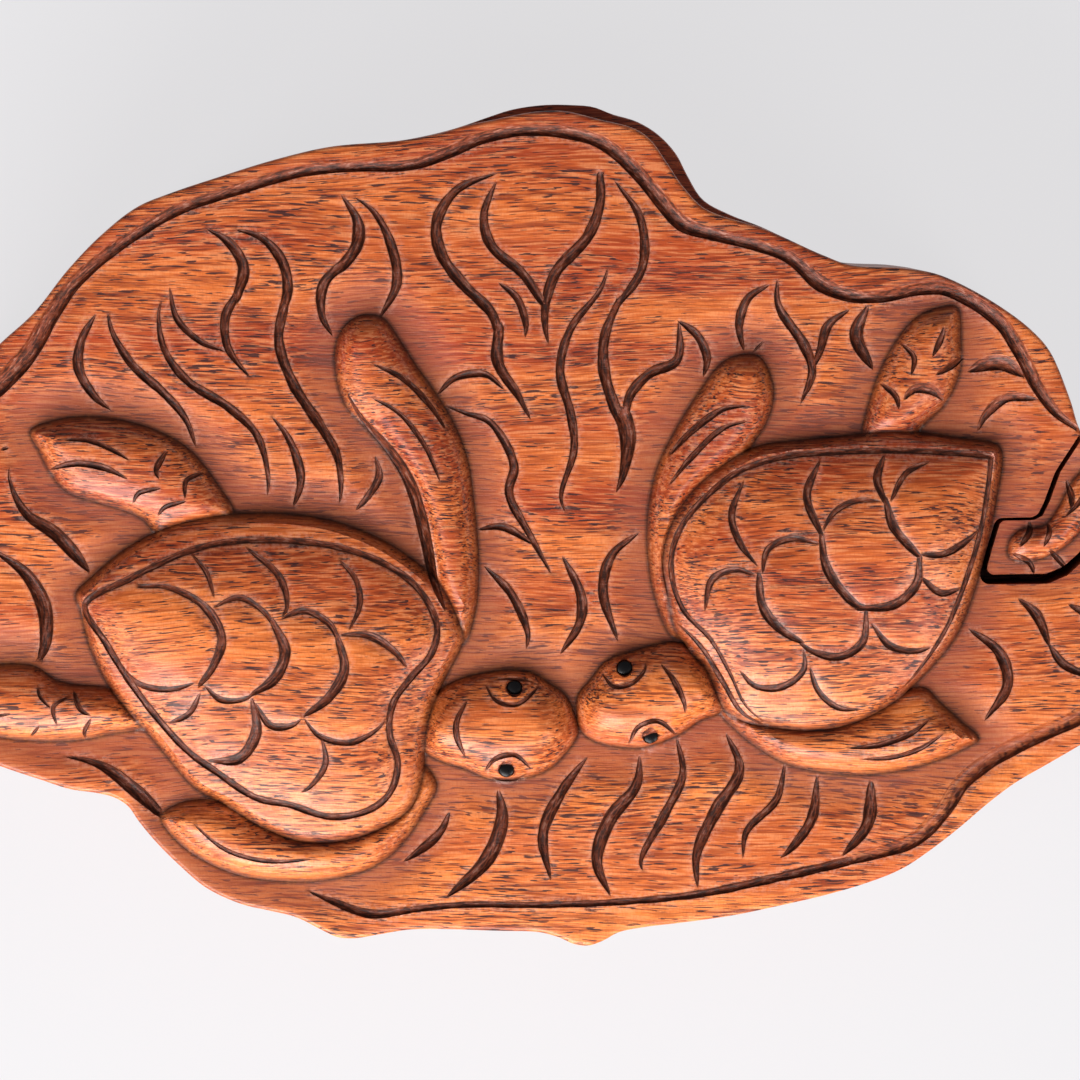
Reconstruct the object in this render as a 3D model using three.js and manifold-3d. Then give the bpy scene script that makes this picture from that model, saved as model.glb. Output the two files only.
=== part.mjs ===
// Carved wooden puzzle box. The carved lid slides off its dovetail once the key piece is lifted out.
// Millimetres, +Z up. The origin is under the middle of the box, on the table it stands on.
import * as THREE from 'three';
import { mergeVertices } from 'three/addons/utils/BufferGeometryUtils.js';
import Module from 'manifold-3d';

const wasm = await Module();
wasm.setup();

// Driving sizes
const LID_LENGTH = 184;
const LID_WIDTH = 119.4;
const BOARD_THICKNESS = 6;
const BLOCK_HEIGHT = 30;
const LID_THICKNESS = 17.2;
const WALL = 15;
const EDGE_ROUND = 0.9;
const SHELL_RISE = 5.6;
const HEAD_RISE = 4.2;
const FLIPPER_RISE = 2.6;

// Gouge cuts: their depth as a share of their width, the share of the full width at their ends,
// how soon they narrow towards them, and how far the cutting shape stands above the ground
const CUT_DEPTH = 0.55;
const CUT_END = 0.15;
const CUT_FULLNESS = 0.65;
const CUT_CLEARANCE = 0.4;

// Dovetail that the lid slides on
const TENON_TOP = 24.9;
const TENON_BASE = 19;
const TENON_HEIGHT = 8;
const SLIDE_GAP = 0.35;

// Key piece, its saw kerf and its tongue
const KERF = 0.93;
const KEY_OFFSET = 0.5;
const TONGUE_LENGTH = 5;
const TONGUE_WIDTH = 6;
const TONGUE_DEPTH = 4;
const TONGUE_GAP = 0.4;
const GROOVE_WALL = 10;

// Inlaid pupils, and the share of a head's rise that its eyes sit at
const EYE_HEIGHT = 0.65;
const PUPIL_RADIUS = 0.95;
const PUPIL_DEPTH = 1.1;
const PUPIL_CROWN = 0.3;
const PUPIL_PROFILE = [[1, 0], [0.75, 0.7], [0.35, 1]];
const INLAY_GAP = 0.3;

// How finely curves and domes are drawn
const CURVE_STEPS = 2;
const CAVITY_KNOT_EVERY = 6;
const ROUND_STEPS = 12;
const SPARE = 1;

// The plan is drawn on the grid of the picture, x to the right and y down.
const LID_OUTLINE = [
  [0, 344], [34, 313], [69, 269], [103, 234], [138, 207], [172, 193], [220, 177], [275, 160],
  [331, 147], [400, 141], [438, 134], [465, 126], [492, 120.5], [533, 112.5], [563, 111.5],
  [598, 119.5], [634, 129], [650, 140], [666, 162], [683, 187], [705, 209], [764, 229],
  [822, 255], [850, 265], [905, 268.5], [936, 274], [970, 289], [1005, 310], [1032, 331],
  [1050, 352], [1070, 399.5], [1080, 430], [1094, 447], [1112, 458], [1138, 476], [1156, 505],
  [1163, 545], [1160, 600], [1150, 650], [1130, 700], [1105, 731], [1080, 746.5], [1050, 764],
  [1015, 784.5], [988, 805], [960, 829], [929, 853], [902, 870.5], [867, 884.5], [826, 896.5],
  [781, 907], [733, 917], [684, 924], [643, 929], [619, 934], [602, 943], [588, 947.4],
  [574, 945.7], [560, 939.5], [540, 934], [499, 932.5], [413, 931], [379, 936], [354, 940],
  [337, 938.8], [320, 931], [296, 919], [268, 912], [241, 905.7], [206, 889.6], [179, 867],
  [155, 843], [138, 822.5], [127, 807], [113, 798.3], [96, 794], [69, 790], [41, 781],
  [0, 767.3], [-50, 748], [-95, 715], [-122, 660], [-125, 590], [-110, 520], [-85, 450], [-50, 395],
];

// Along this stretch of the back, the box stands a little further out than its lid.
const BODY_BACK_EDGE = [
  [400, 140], [439, 132], [461, 125.7], [492, 115], [512, 108.8], [543, 104.3], [573.5, 104.3],
  [594, 106.3], [613, 113.5], [638, 121], [660, 134.5], [678, 154], [689, 175], [705, 200],
  [733, 215.5], [764, 227.5],
];

// The fret-sawn edge of the key, and on the right a corner well outside the lid that closes it.
const KEY_CUT = [
  [1083, 437], [1061, 472], [1050, 502], [1043, 516], [1034, 520.5], [1001, 521], [993, 548],
  [986, 575], [1047, 574], [1065, 566], [1080, 552], [1091, 541], [1103, 527], [1118, 513],
  [1136, 503], [1200, 492], [1200, 300],
];

// The line down the middle of the box that its outline is drawn in towards
const BOX_SPINE = [[190, 560], [820, 560]];

const TENON_CENTRE = [525, 560];
const TONGUE_CENTRE = [1068, 526];
const PUPILS = [
  ['pupil_left_upper', [514.5, 687.5]],
  ['pupil_left_lower', [506.5, 769]],
  ['pupil_right_upper', [624.5, 667.5]],
  ['pupil_right_lower', [650.5, 735.5]],
];

// Each raised form has an outline and the spine that its dome falls away from.
const SHELLS = [
  {
    outline: [
      [75, 594], [90, 578], [125, 549], [163, 529], [210, 517], [260, 513], [320, 518],
      [370, 534], [405, 554], [436, 580], [455, 612], [463, 640], [447, 676], [432, 708],
      [425, 740], [424, 770], [412, 806], [385, 827], [345, 841], [300, 842], [262, 828],
      [225, 806], [195, 790], [160, 750], [135, 720], [105, 682], [88, 645], [80, 612],
    ],
    spine: [[190, 625], [330, 690]],
  },
  {
    outline: [
      [1000, 447], [960, 438], [920, 432], [880, 432], [840, 436], [800, 440], [755, 447],
      [720, 467], [690, 494], [670, 528], [663, 560], [667, 592], [675, 630], [690, 652],
      [706, 670], [716, 692], [726, 712], [745, 722], [775, 728], [810, 731], [845, 726],
      [880, 711], [910, 690], [935, 665], [958, 635], [975, 592], [988, 545], [997, 500],
    ],
    spine: [[780, 600], [900, 530]],
  },
];

const HEADS = [
  {
    outline: [
      [440, 690], [458, 680], [480, 674], [510, 670], [530, 672], [550, 684], [566, 696],
      [574, 712], [579, 733], [568, 752], [548, 771], [520, 780], [490, 780], [462, 769],
      [440, 762], [415, 745], [415, 715],
    ],
    spine: [[440, 727], [530, 728]],
  },
  {
    outline: [
      [577, 697], [590, 680], [606, 661], [630, 652], [655, 645], [675, 642], [705, 655],
      [730, 690], [722, 712], [700, 722], [684, 733], [665, 742], [640, 749], [612, 747],
      [590, 740], [579, 728],
    ],
    spine: [[620, 705], [700, 685]],
  },
];

const LID_FLIPPERS = [
  {
    outline: [
      [336, 343], [345, 325], [362, 315], [383, 318], [400, 340], [416, 365], [437, 395],
      [455, 425], [468, 460], [474, 500], [478, 540], [479, 580], [475, 615], [463, 645],
      [445, 640], [432, 600], [425, 550], [413, 500], [395, 465], [367, 430], [345, 405],
      [335, 370],
    ],
    spine: [[360, 345], [395, 410], [432, 470], [452, 540], [455, 610]],
  },
  {
    outline: [
      [415, 760], [437, 785], [425, 812], [400, 848], [370, 870], [330, 881], [285, 883],
      [240, 877], [200, 860], [172, 838], [160, 818], [176, 805], [205, 800], [240, 806],
      [280, 820], [330, 822], [375, 810], [400, 785],
    ],
    spine: [[190, 822], [250, 848], [320, 852], [380, 832], [415, 800]],
  },
  {
    outline: [
      [30, 431], [60, 419], [100, 417], [150, 428], [190, 450], [218, 485], [234, 513],
      [225, 535], [163, 540], [140, 518], [98, 503], [65, 491], [47, 468], [38, 450],
    ],
    spine: [[60, 440], [130, 465], [195, 505]],
  },
  {
    outline: [
      [145, 700], [100, 687], [75, 685], [55, 680], [35, 667], [15, 664], [-15, 666],
      [-50, 672], [-85, 690], [-60, 712], [-30, 728], [0, 738], [40, 742], [80, 741],
      [110, 735], [150, 725],
    ],
    spine: [[-50, 690], [20, 702], [125, 712]],
  },
  {
    outline: [
      [735, 356], [752, 354], [763, 360], [774, 390], [768, 420], [752, 446], [735, 475],
      [705, 500], [684, 540], [680, 590], [690, 640], [672, 637], [655, 600], [648, 560],
      [648, 510], [658, 465], [678, 425], [700, 390], [720, 364],
    ],
    spine: [[748, 375], [725, 430], [680, 490], [664, 545], [670, 605]],
  },
  {
    outline: [
      [718, 708], [735, 730], [757, 748], [785, 764], [820, 773], [860, 776], [905, 771],
      [940, 761], [965, 750], [980, 740], [962, 722], [940, 702], [925, 688], [880, 695],
      [800, 705], [740, 695],
    ],
    spine: [[750, 722], [830, 745], [900, 742], [950, 732]],
  },
  {
    outline: [
      [862, 432], [868, 405], [880, 370], [895, 342], [915, 318], [940, 307], [957, 307],
      [961, 340], [960, 372], [945, 405], [920, 430], [915, 445], [866, 445],
    ],
    spine: [[940, 330], [920, 370], [890, 425]],
  },
];

const KEY_FLIPPER = {
  outline: [
    [1009, 557], [1010, 540], [1022, 529], [1044, 526], [1058, 508], [1072, 482], [1088, 466],
    [1106, 466], [1120, 476], [1118, 490], [1102, 506], [1088, 522], [1072, 542], [1050, 556],
    [1026, 562],
  ],
  spine: [[1026, 545], [1060, 530], [1085, 500], [1102, 482]],
};

// The groove round the border: its middle line, and its width at each place
const BORDER_CUTS = [
  [
    [-70, 727, 7], [-106, 650, 16], [-106, 590, 18], [-68, 458, 19], [0, 384, 21], [50, 318, 17],
    [100, 260, 13], [180, 209, 12], [300, 172, 12], [410, 165, 12], [480, 139, 13], [520, 131, 12],
    [600, 142, 14], [655, 193, 16], [682, 223, 17], [758, 246, 12], [820, 283, 17], [880, 297, 12],
    [944, 289, 14], [1000, 322, 15], [1040, 391, 13], [1076, 428, 5],
  ],
  [
    [302, 890, 3], [370, 915, 8], [460, 906, 7], [540, 906, 7], [700, 895, 8], [850, 862, 9],
    [915, 840, 16], [963, 783, 17], [1037, 736, 17], [1108, 690, 16], [1137, 600, 12], [1138, 550, 6],
  ],
  [[52, 755, 3], [100, 766, 10], [137, 793, 13], [160, 815, 5]],
];

// Gouge cuts in the ground, for the water: the greatest width, then the middle line
const WATER_CUTS = [
  [11, [97, 313], [82, 340], [79, 368], [95, 397], [112, 411]],
  [10, [108, 310], [133, 365], [163, 392], [185, 418], [197, 450]],
  [10, [163, 297], [165, 350], [187, 380], [230, 408], [257, 435], [268, 475], [267, 500]],
  [12, [204, 227], [230, 243], [243, 270], [237, 297]],
  [11, [230, 228], [262, 238], [281, 262], [288, 292]],
  [11, [284, 300], [280, 340], [293, 383], [337, 455], [341, 490], [339, 507]],
  [12, [341, 196], [356, 222], [355, 252], [345, 262]],
  [11, [350, 194], [375, 213], [392, 247], [397, 283], [380, 318]],
  [14, [14, 455], [9, 475], [25, 512], [57, 535], [90, 573]],
  [15, [-14, 547], [4, 557], [27, 575], [44, 608], [40, 658]],
  [12, [498, 173], [457, 190], [437, 222], [441, 253], [491, 312], [498, 330]],
  [11, [499, 325], [498, 362], [518, 395], [531, 420]],
  [11, [497, 180], [484, 215], [491, 245], [523, 274], [546, 310], [552, 347]],
  [12, [600, 175], [600, 203], [588, 236], [556, 272], [547, 298]],
  [10, [614, 180], [640, 218], [642, 268], [612, 312]],
  [12, [619, 300], [605, 335], [604, 370], [623, 412], [628, 440], [616, 493]],
  [10, [610, 262], [571, 328], [560, 370], [574, 450], [561, 497], [568, 518]],
  [11, [679, 320], [677, 360], [650, 373], [630, 395], [625, 418]],
  [10, [443, 405], [490, 422], [514, 465], [509, 493], [553, 577]],
  [10, [483, 565], [512, 595], [528, 635], [526, 650]],
  [11, [562, 555], [581, 595], [580, 622], [560, 655]],
  [11, [640, 532], [612, 555], [603, 590], [618, 642]],
  [11, [777, 278], [778, 305], [805, 347], [812, 372], [800, 405]],
  [14, [868, 305], [856, 335], [873, 370]],
  [14, [967, 372], [985, 364], [1003, 363], [1026, 377]],
  [15, [498, 790], [502, 820], [487, 860], [446, 899]],
  [12, [588, 757], [562, 792], [543, 835], [551, 882]],
  [14, [640, 755], [637, 785], [610, 820], [597, 862], [611, 898]],
  [10, [676, 735], [683, 775], [665, 815], [641, 862], [644, 875]],
  [13, [726, 733], [740, 770], [717, 810], [697, 855], [698, 890]],
  [11, [818, 776], [812, 820], [787, 854], [780, 859]],
  [13, [872, 781], [868, 825], [842, 858]],
  [11, [1018, 598], [1037, 615], [1050, 647]],
  [12, [968, 628], [1000, 653], [1008, 685], [985, 722]],
  [12, [-82, 500], [-80, 535], [-55, 570], [-24, 640]],
];

// A dome's steps from its rim: a share of the way to the spine, and a share of the rise there
const SHELL_PROFILE = [[0, 0], [0.1, 0.45], [0.3, 0.78], [0.6, 0.96], [0.85, 1]];
const LIMB_PROFILE = [[0, 0], [0.25, 0.7], [0.7, 1]];

const DARK_WOOD = { color: 0x8f3c1c, roughness: 0.5, metalness: 0 };
const LID_WOOD = { color: 0xb9562b, roughness: 0.42, metalness: 0 };
const PALE_WOOD = { color: 0xa5552f, roughness: 0.6, metalness: 0 };
const BLACK_INLAY = { color: 0x0d0b0a, roughness: 0.15, metalness: 0 };

// Levels, from the table up
const BLOCK_BOTTOM = BOARD_THICKNESS;
const JOINT_LEVEL = BLOCK_BOTTOM + BLOCK_HEIGHT;
const LID_BOTTOM = JOINT_LEVEL + SLIDE_GAP;
const FIELD_LEVEL = LID_BOTTOM + LID_THICKNESS;
const ABOVE_ALL = FIELD_LEVEL + SHELL_RISE + SPARE;

const low = (points, axis) => Math.min(...points.map((point) => point[axis]));
const high = (points, axis) => Math.max(...points.map((point) => point[axis]));

const GRID = {
  scaleX: LID_LENGTH / (high(LID_OUTLINE, 0) - low(LID_OUTLINE, 0)),
  scaleY: LID_WIDTH / (high(LID_OUTLINE, 1) - low(LID_OUTLINE, 1)),
  middleX: (low(LID_OUTLINE, 0) + high(LID_OUTLINE, 0)) / 2,
  middleY: (low(BODY_BACK_EDGE, 1) + high(LID_OUTLINE, 1)) / 2,
};

function onPlan([x, y]) {
  return new THREE.Vector2((x - GRID.middleX) * GRID.scaleX, (GRID.middleY - y) * GRID.scaleY);
}

function anticlockwise(points) {
  return THREE.ShapeUtils.area(points) < 0 ? [...points].reverse() : points;
}

function smoothThrough(knots) {
  const places = knots.map((knot) => new THREE.Vector3(knot.x, knot.y, 0));
  const curve = new THREE.CatmullRomCurve3(places, true, 'centripetal');
  const points = curve.getPoints(knots.length * CURVE_STEPS).slice(0, -1);
  return anticlockwise(points.map((point) => new THREE.Vector2(point.x, point.y)));
}

function smoothOutline(drawn) {
  return smoothThrough(drawn.map(onPlan));
}

function nearestOnSpine(point, spine) {
  let nearest = spine[0];
  for (let i = 1; i < spine.length; i += 1) {
    const along = spine[i].clone().sub(spine[i - 1]);
    const share = point.clone().sub(spine[i - 1]).dot(along) / along.lengthSq();
    const candidate = spine[i - 1].clone().addScaledVector(along, THREE.MathUtils.clamp(share, 0, 1));
    if (candidate.distanceTo(point) < nearest.distanceTo(point)) nearest = candidate;
  }
  return nearest;
}

function drawnTowards(outline, spine, share) {
  return outline.map((point) => point.clone().lerp(nearestOnSpine(point, spine), share));
}

function insetTowards(outline, spine, distance) {
  return outline.map((point) => {
    const inward = nearestOnSpine(point, spine).sub(point);
    return point.clone().addScaledVector(inward.normalize(), distance);
  });
}

// Moves each side of a closed outline outwards by the same distance, with mitred corners.
function widened(outline, distance) {
  return outline.map((point, i) => {
    const before = outline.at(i - 1);
    const after = outline[(i + 1) % outline.length];
    const sideIn = point.clone().sub(before).normalize();
    const sideOut = after.clone().sub(point).normalize();
    const outIn = new THREE.Vector2(sideIn.y, -sideIn.x);
    const outOut = new THREE.Vector2(sideOut.y, -sideOut.x);
    const mitre = outIn.clone().add(outOut).normalize();
    return point.clone().addScaledVector(mitre, distance / mitre.dot(outOut));
  });
}

function rectangle(centre, length, width) {
  const [x, y] = [length / 2, width / 2];
  const corners = [[-x, -y], [x, -y], [x, y], [-x, y]];
  return corners.map(([dx, dy]) => new THREE.Vector2(centre.x + dx, centre.y + dy));
}

// Joins flat rings of equally many points, one above the other, into one closed solid.
function stackedRings(rings) {
  const count = rings[0].points.length;
  const vertices = rings.flatMap(({ points, z }) => points.flatMap((point) => [point.x, point.y, z]));
  const faces = [];
  for (let ring = 0; ring + 1 < rings.length; ring += 1) {
    for (let i = 0; i < count; i += 1) {
      const here = ring * count + i;
      const next = ring * count + ((i + 1) % count);
      faces.push(here, next, next + count, here, next + count, here + count);
    }
  }
  const top = (rings.length - 1) * count;
  for (const [a, b, c] of THREE.ShapeUtils.triangulateShape(rings[0].points, [])) faces.push(a, c, b);
  for (const [a, b, c] of THREE.ShapeUtils.triangulateShape(rings.at(-1).points, [])) {
    faces.push(top + a, top + b, top + c);
  }
  return toSolid(vertices, faces);
}

function toSolid(vertices, faces) {
  const geometry = new THREE.BufferGeometry();
  geometry.setAttribute('position', new THREE.Float32BufferAttribute(vertices, 3));
  geometry.setIndex(faces);
  const merged = mergeVertices(geometry);
  return new wasm.Manifold(new wasm.Mesh({
    numProp: 3,
    vertProperties: Float32Array.from(merged.attributes.position.array),
    triVerts: Uint32Array.from(merged.index.array),
  }));
}

function toMesh(name, solid, finish) {
  const { vertProperties, triVerts } = solid.getMesh();
  const geometry = new THREE.BufferGeometry();
  geometry.setAttribute('position', new THREE.BufferAttribute(vertProperties, 3));
  geometry.setIndex(new THREE.BufferAttribute(triVerts, 1));
  const mesh = new THREE.Mesh(geometry, new THREE.MeshStandardMaterial(finish));
  mesh.name = name;
  return mesh;
}

function prism(points, bottom, top) {
  return stackedRings([{ points, z: bottom }, { points, z: top }]);
}

function bodyOutline() {
  const starts = BODY_BACK_EDGE[0][0];
  const ends = BODY_BACK_EDGE.at(-1)[0];
  const first = LID_OUTLINE.findIndex(([x]) => x >= starts);
  const last = LID_OUTLINE.findIndex(([x]) => x > ends);
  return smoothOutline([...LID_OUTLINE.slice(0, first), ...BODY_BACK_EDGE, ...LID_OUTLINE.slice(last)]);
}

function grooveCentre() {
  return onPlan(TONGUE_CENTRE).x;
}

// The cavity follows the outline a wall's thickness in, and stops short of the tongue's groove.
function cavityOutline() {
  const limit = grooveCentre() - TONGUE_LENGTH / 2 - TONGUE_GAP - GROOVE_WALL;
  const knots = bodyOutline().filter((_, i) => i % CAVITY_KNOT_EVERY === 0);
  const inner = smoothThrough(insetTowards(knots, BOX_SPINE.map(onPlan), WALL));
  for (const point of inner) point.x = Math.min(point.x, limit);
  return inner;
}

// A full-length dovetail bar with its narrow side down, grown on every side by a gap.
function dovetailBar(bottom, gap) {
  const slope = (TENON_TOP - TENON_BASE) / TENON_HEIGHT;
  const top = JOINT_LEVEL + TENON_HEIGHT + gap;
  const middle = new THREE.Vector2(onPlan(TENON_CENTRE).x, 0);
  const ring = (z) => {
    const width = TENON_BASE + (z - JOINT_LEVEL) * slope + 2 * gap;
    return { points: rectangle(middle, width, 2 * LID_WIDTH), z };
  };
  return stackedRings([ring(bottom), ring(top)]);
}

function grooveCut() {
  const closedEnd = onPlan(TONGUE_CENTRE).y + TONGUE_WIDTH / 2 + TONGUE_GAP;
  const middle = new THREE.Vector2(grooveCentre(), closedEnd - LID_WIDTH / 2);
  const floor = JOINT_LEVEL - TONGUE_DEPTH - TONGUE_GAP;
  return prism(rectangle(middle, TONGUE_LENGTH + 2 * TONGUE_GAP, LID_WIDTH), floor, JOINT_LEVEL + SPARE);
}

function makeBottomBoard() {
  const outline = bodyOutline();
  const rounded = insetTowards(outline, BOX_SPINE.map(onPlan), EDGE_ROUND);
  return stackedRings([
    { points: rounded, z: 0 },
    { points: outline, z: EDGE_ROUND },
    { points: outline, z: BLOCK_BOTTOM },
  ]);
}

function makeBodyBlock() {
  const outline = bodyOutline();
  const tenons = dovetailBar(JOINT_LEVEL - SPARE, 0).intersect(prism(outline, BLOCK_BOTTOM, ABOVE_ALL));
  return prism(outline, BLOCK_BOTTOM, JOINT_LEVEL)
    .add(tenons)
    .subtract(prism(cavityOutline(), BLOCK_BOTTOM - SPARE, ABOVE_ALL))
    .subtract(grooveCut());
}

// A dome over an outline, sunk a little into the lid so that the two join.
function dome({ outline, spine }, rise, profile) {
  const rim = smoothOutline(outline);
  const back = spine.map(onPlan);
  const rings = profile.map(([share, height]) => ({
    points: drawnTowards(rim, back, share),
    z: FIELD_LEVEL + height * rise,
  }));
  return stackedRings([{ points: rim, z: FIELD_LEVEL - SPARE }, ...rings]);
}

function lidSlab() {
  const outline = smoothOutline(LID_OUTLINE);
  const rounded = insetTowards(outline, BOX_SPINE.map(onPlan), EDGE_ROUND);
  return stackedRings([
    { points: outline, z: LID_BOTTOM },
    { points: outline, z: FIELD_LEVEL - EDGE_ROUND },
    { points: rounded, z: FIELD_LEVEL },
  ]);
}

// A V-shaped cut along a line, open at the top. Each knot's third number is the width there.
function gougeCut(knots) {
  const middle = knots.map(onPlan);
  const vertices = middle.flatMap((point, i) => {
    const ahead = middle[Math.min(i + 1, middle.length - 1)];
    const along = ahead.clone().sub(middle[Math.max(i - 1, 0)]).normalize();
    const half = (knots[i][2] * GRID.scaleX) / 2;
    const depth = 2 * half * CUT_DEPTH;
    const opening = (half * (depth + CUT_CLEARANCE)) / depth;
    const [x, y] = [-along.y * opening, along.x * opening];
    const rim = FIELD_LEVEL + CUT_CLEARANCE;
    return [
      point.x + x, point.y + y, rim,
      point.x, point.y, FIELD_LEVEL - depth,
      point.x - x, point.y - y, rim,
    ];
  });
  const last = vertices.length / 3 - 3;
  const faces = [0, 1, 2, last + 2, last + 1, last];
  for (let here = 0; here < last; here += 3) {
    for (const [from, to] of [[0, 1], [1, 2], [2, 0]]) {
      faces.push(here + to, here + from, here + from + 3, here + to, here + from + 3, here + to + 3);
    }
  }
  return toSolid(vertices, faces);
}

// Gives a cut's knots their widths: widest in the middle and narrow at both ends.
function tapered([width, ...knots]) {
  return knots.map(([x, y], i) => {
    const fullness = Math.sin((Math.PI * i) / (knots.length - 1)) ** CUT_FULLNESS;
    return [x, y, width * Math.max(fullness, CUT_END)];
  });
}

function groundCuts() {
  return [...BORDER_CUTS, ...WATER_CUTS.map(tapered)].map(gougeCut);
}

function keyCutOutline() {
  return anticlockwise(KEY_CUT.map(onPlan));
}

function keySlot() {
  const centred = keyCutOutline().map((point) => new THREE.Vector2(point.x, point.y - KEY_OFFSET));
  return prism(widened(centred, KERF), LID_BOTTOM - SPARE, ABOVE_ALL);
}

function pupilFloor() {
  return FIELD_LEVEL + HEAD_RISE * EYE_HEIGHT - PUPIL_DEPTH;
}

function pupilSocket(place) {
  const middle = onPlan(place);
  const round = new THREE.EllipseCurve(middle.x, middle.y, PUPIL_RADIUS + INLAY_GAP, PUPIL_RADIUS + INLAY_GAP);
  return prism(round.getPoints(ROUND_STEPS).slice(0, -1), pupilFloor(), ABOVE_ALL);
}

function makeLid() {
  const parts = [
    ...SHELLS.map((form) => dome(form, SHELL_RISE, SHELL_PROFILE)),
    ...HEADS.map((form) => dome(form, HEAD_RISE, LIMB_PROFILE)),
    ...LID_FLIPPERS.map((form) => dome(form, FLIPPER_RISE, LIMB_PROFILE)),
  ];
  const grooved = groundCuts().reduce((solid, cut) => solid.subtract(cut), lidSlab());
  const carved = parts.reduce((solid, part) => solid.add(part), grooved);
  const hollowed = carved.subtract(dovetailBar(LID_BOTTOM - SPARE, SLIDE_GAP)).subtract(keySlot());
  return PUPILS.reduce((solid, [, place]) => solid.subtract(pupilSocket(place)), hollowed);
}

function makeKey() {
  const block = lidSlab().intersect(prism(keyCutOutline(), LID_BOTTOM - SPARE, ABOVE_ALL));
  return block.add(dome(KEY_FLIPPER, FLIPPER_RISE, LIMB_PROFILE));
}

function makeKeyTongue() {
  const middle = onPlan(TONGUE_CENTRE);
  return prism(rectangle(middle, TONGUE_LENGTH, TONGUE_WIDTH), JOINT_LEVEL - TONGUE_DEPTH, LID_BOTTOM);
}

function makePupil(place) {
  const middle = onPlan(place);
  const floor = pupilFloor();
  const ring = (radius, z) => {
    const round = new THREE.EllipseCurve(middle.x, middle.y, radius, radius);
    return { points: round.getPoints(ROUND_STEPS).slice(0, -1), z };
  };
  const crown = PUPIL_PROFILE.map(([width, height]) => (
    ring(PUPIL_RADIUS * width, floor + PUPIL_DEPTH + PUPIL_CROWN * height)));
  return stackedRings([ring(PUPIL_RADIUS, floor), ...crown]);
}

const body = new THREE.Group();
body.add(toMesh('bottom_board', makeBottomBoard(), DARK_WOOD));
body.add(toMesh('body_block', makeBodyBlock(), DARK_WOOD));

const key = new THREE.Group();
key.add(toMesh('key', makeKey(), LID_WOOD));
key.add(toMesh('key_tongue', makeKeyTongue(), PALE_WOOD));

const lid = new THREE.Group();
lid.add(toMesh('lid', makeLid(), LID_WOOD));
for (const [name, place] of PUPILS) lid.add(toMesh(name, makePupil(place), BLACK_INLAY));
lid.add(key);

const puzzleBox = new THREE.Group();
puzzleBox.add(body, lid);

export default puzzleBox;
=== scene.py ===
"""The looks of a carved wooden puzzle box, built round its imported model.

Outlines and gouge cuts are drawn on the picture's grid, x to the right and y down, and laid on the
box's plan in millimetres. Shapes are worked out in millimetres, and their meshes are in metres.
"""

import logging
import math
from dataclasses import dataclass, field
from enum import Enum

import bpy
import numpy as np
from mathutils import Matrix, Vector
from mathutils.geometry import delaunay_2d_cdt
from mathutils.kdtree import KDTree


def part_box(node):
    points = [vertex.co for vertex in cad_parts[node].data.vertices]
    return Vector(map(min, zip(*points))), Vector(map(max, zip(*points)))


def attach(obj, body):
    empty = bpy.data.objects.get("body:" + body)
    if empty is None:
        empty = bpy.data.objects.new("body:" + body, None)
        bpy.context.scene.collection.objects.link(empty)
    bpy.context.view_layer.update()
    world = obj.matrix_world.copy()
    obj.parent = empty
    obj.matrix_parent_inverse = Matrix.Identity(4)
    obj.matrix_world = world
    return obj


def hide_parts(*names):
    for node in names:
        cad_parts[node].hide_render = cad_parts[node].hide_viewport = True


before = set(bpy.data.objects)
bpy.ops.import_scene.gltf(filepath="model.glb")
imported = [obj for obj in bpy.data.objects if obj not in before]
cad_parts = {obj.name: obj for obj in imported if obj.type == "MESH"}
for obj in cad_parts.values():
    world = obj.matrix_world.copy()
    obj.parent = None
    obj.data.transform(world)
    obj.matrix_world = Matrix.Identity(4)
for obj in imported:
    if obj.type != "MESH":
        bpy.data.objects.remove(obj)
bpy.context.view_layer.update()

logging.basicConfig(level=logging.INFO, format="%(message)s")
LOG = logging.getLogger("puzzle_box")

Knots = list[tuple[float, ...]]
Socket = bpy.types.NodeSocket
MM = 0.001

# The picture's grid: its middle, and the knots that lie furthest right and furthest forward
GRID_MIDDLE = (519.0, 525.85)
GRID_RIGHT = 1163.0
GRID_FRONT = 947.4
GRID_STEP = 1 / 7

# Levels and sizes of the woodwork, in millimetres
EDGE_ROUND = 0.6
WALL = 15.0
TENON_TOP = 24.9
TENON_BASE = 19.0
TENON_HEIGHT = 8.0
SLIDE_GAP = 0.35
KERF = 0.93
KEY_OFFSET = 0.5
TONGUE_LENGTH = 5.0
TONGUE_WIDTH = 6.0
TONGUE_DEPTH = 4.0
TONGUE_GAP = 0.4
GROOVE_WALL = 10.0
SPARE = 1.0

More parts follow.
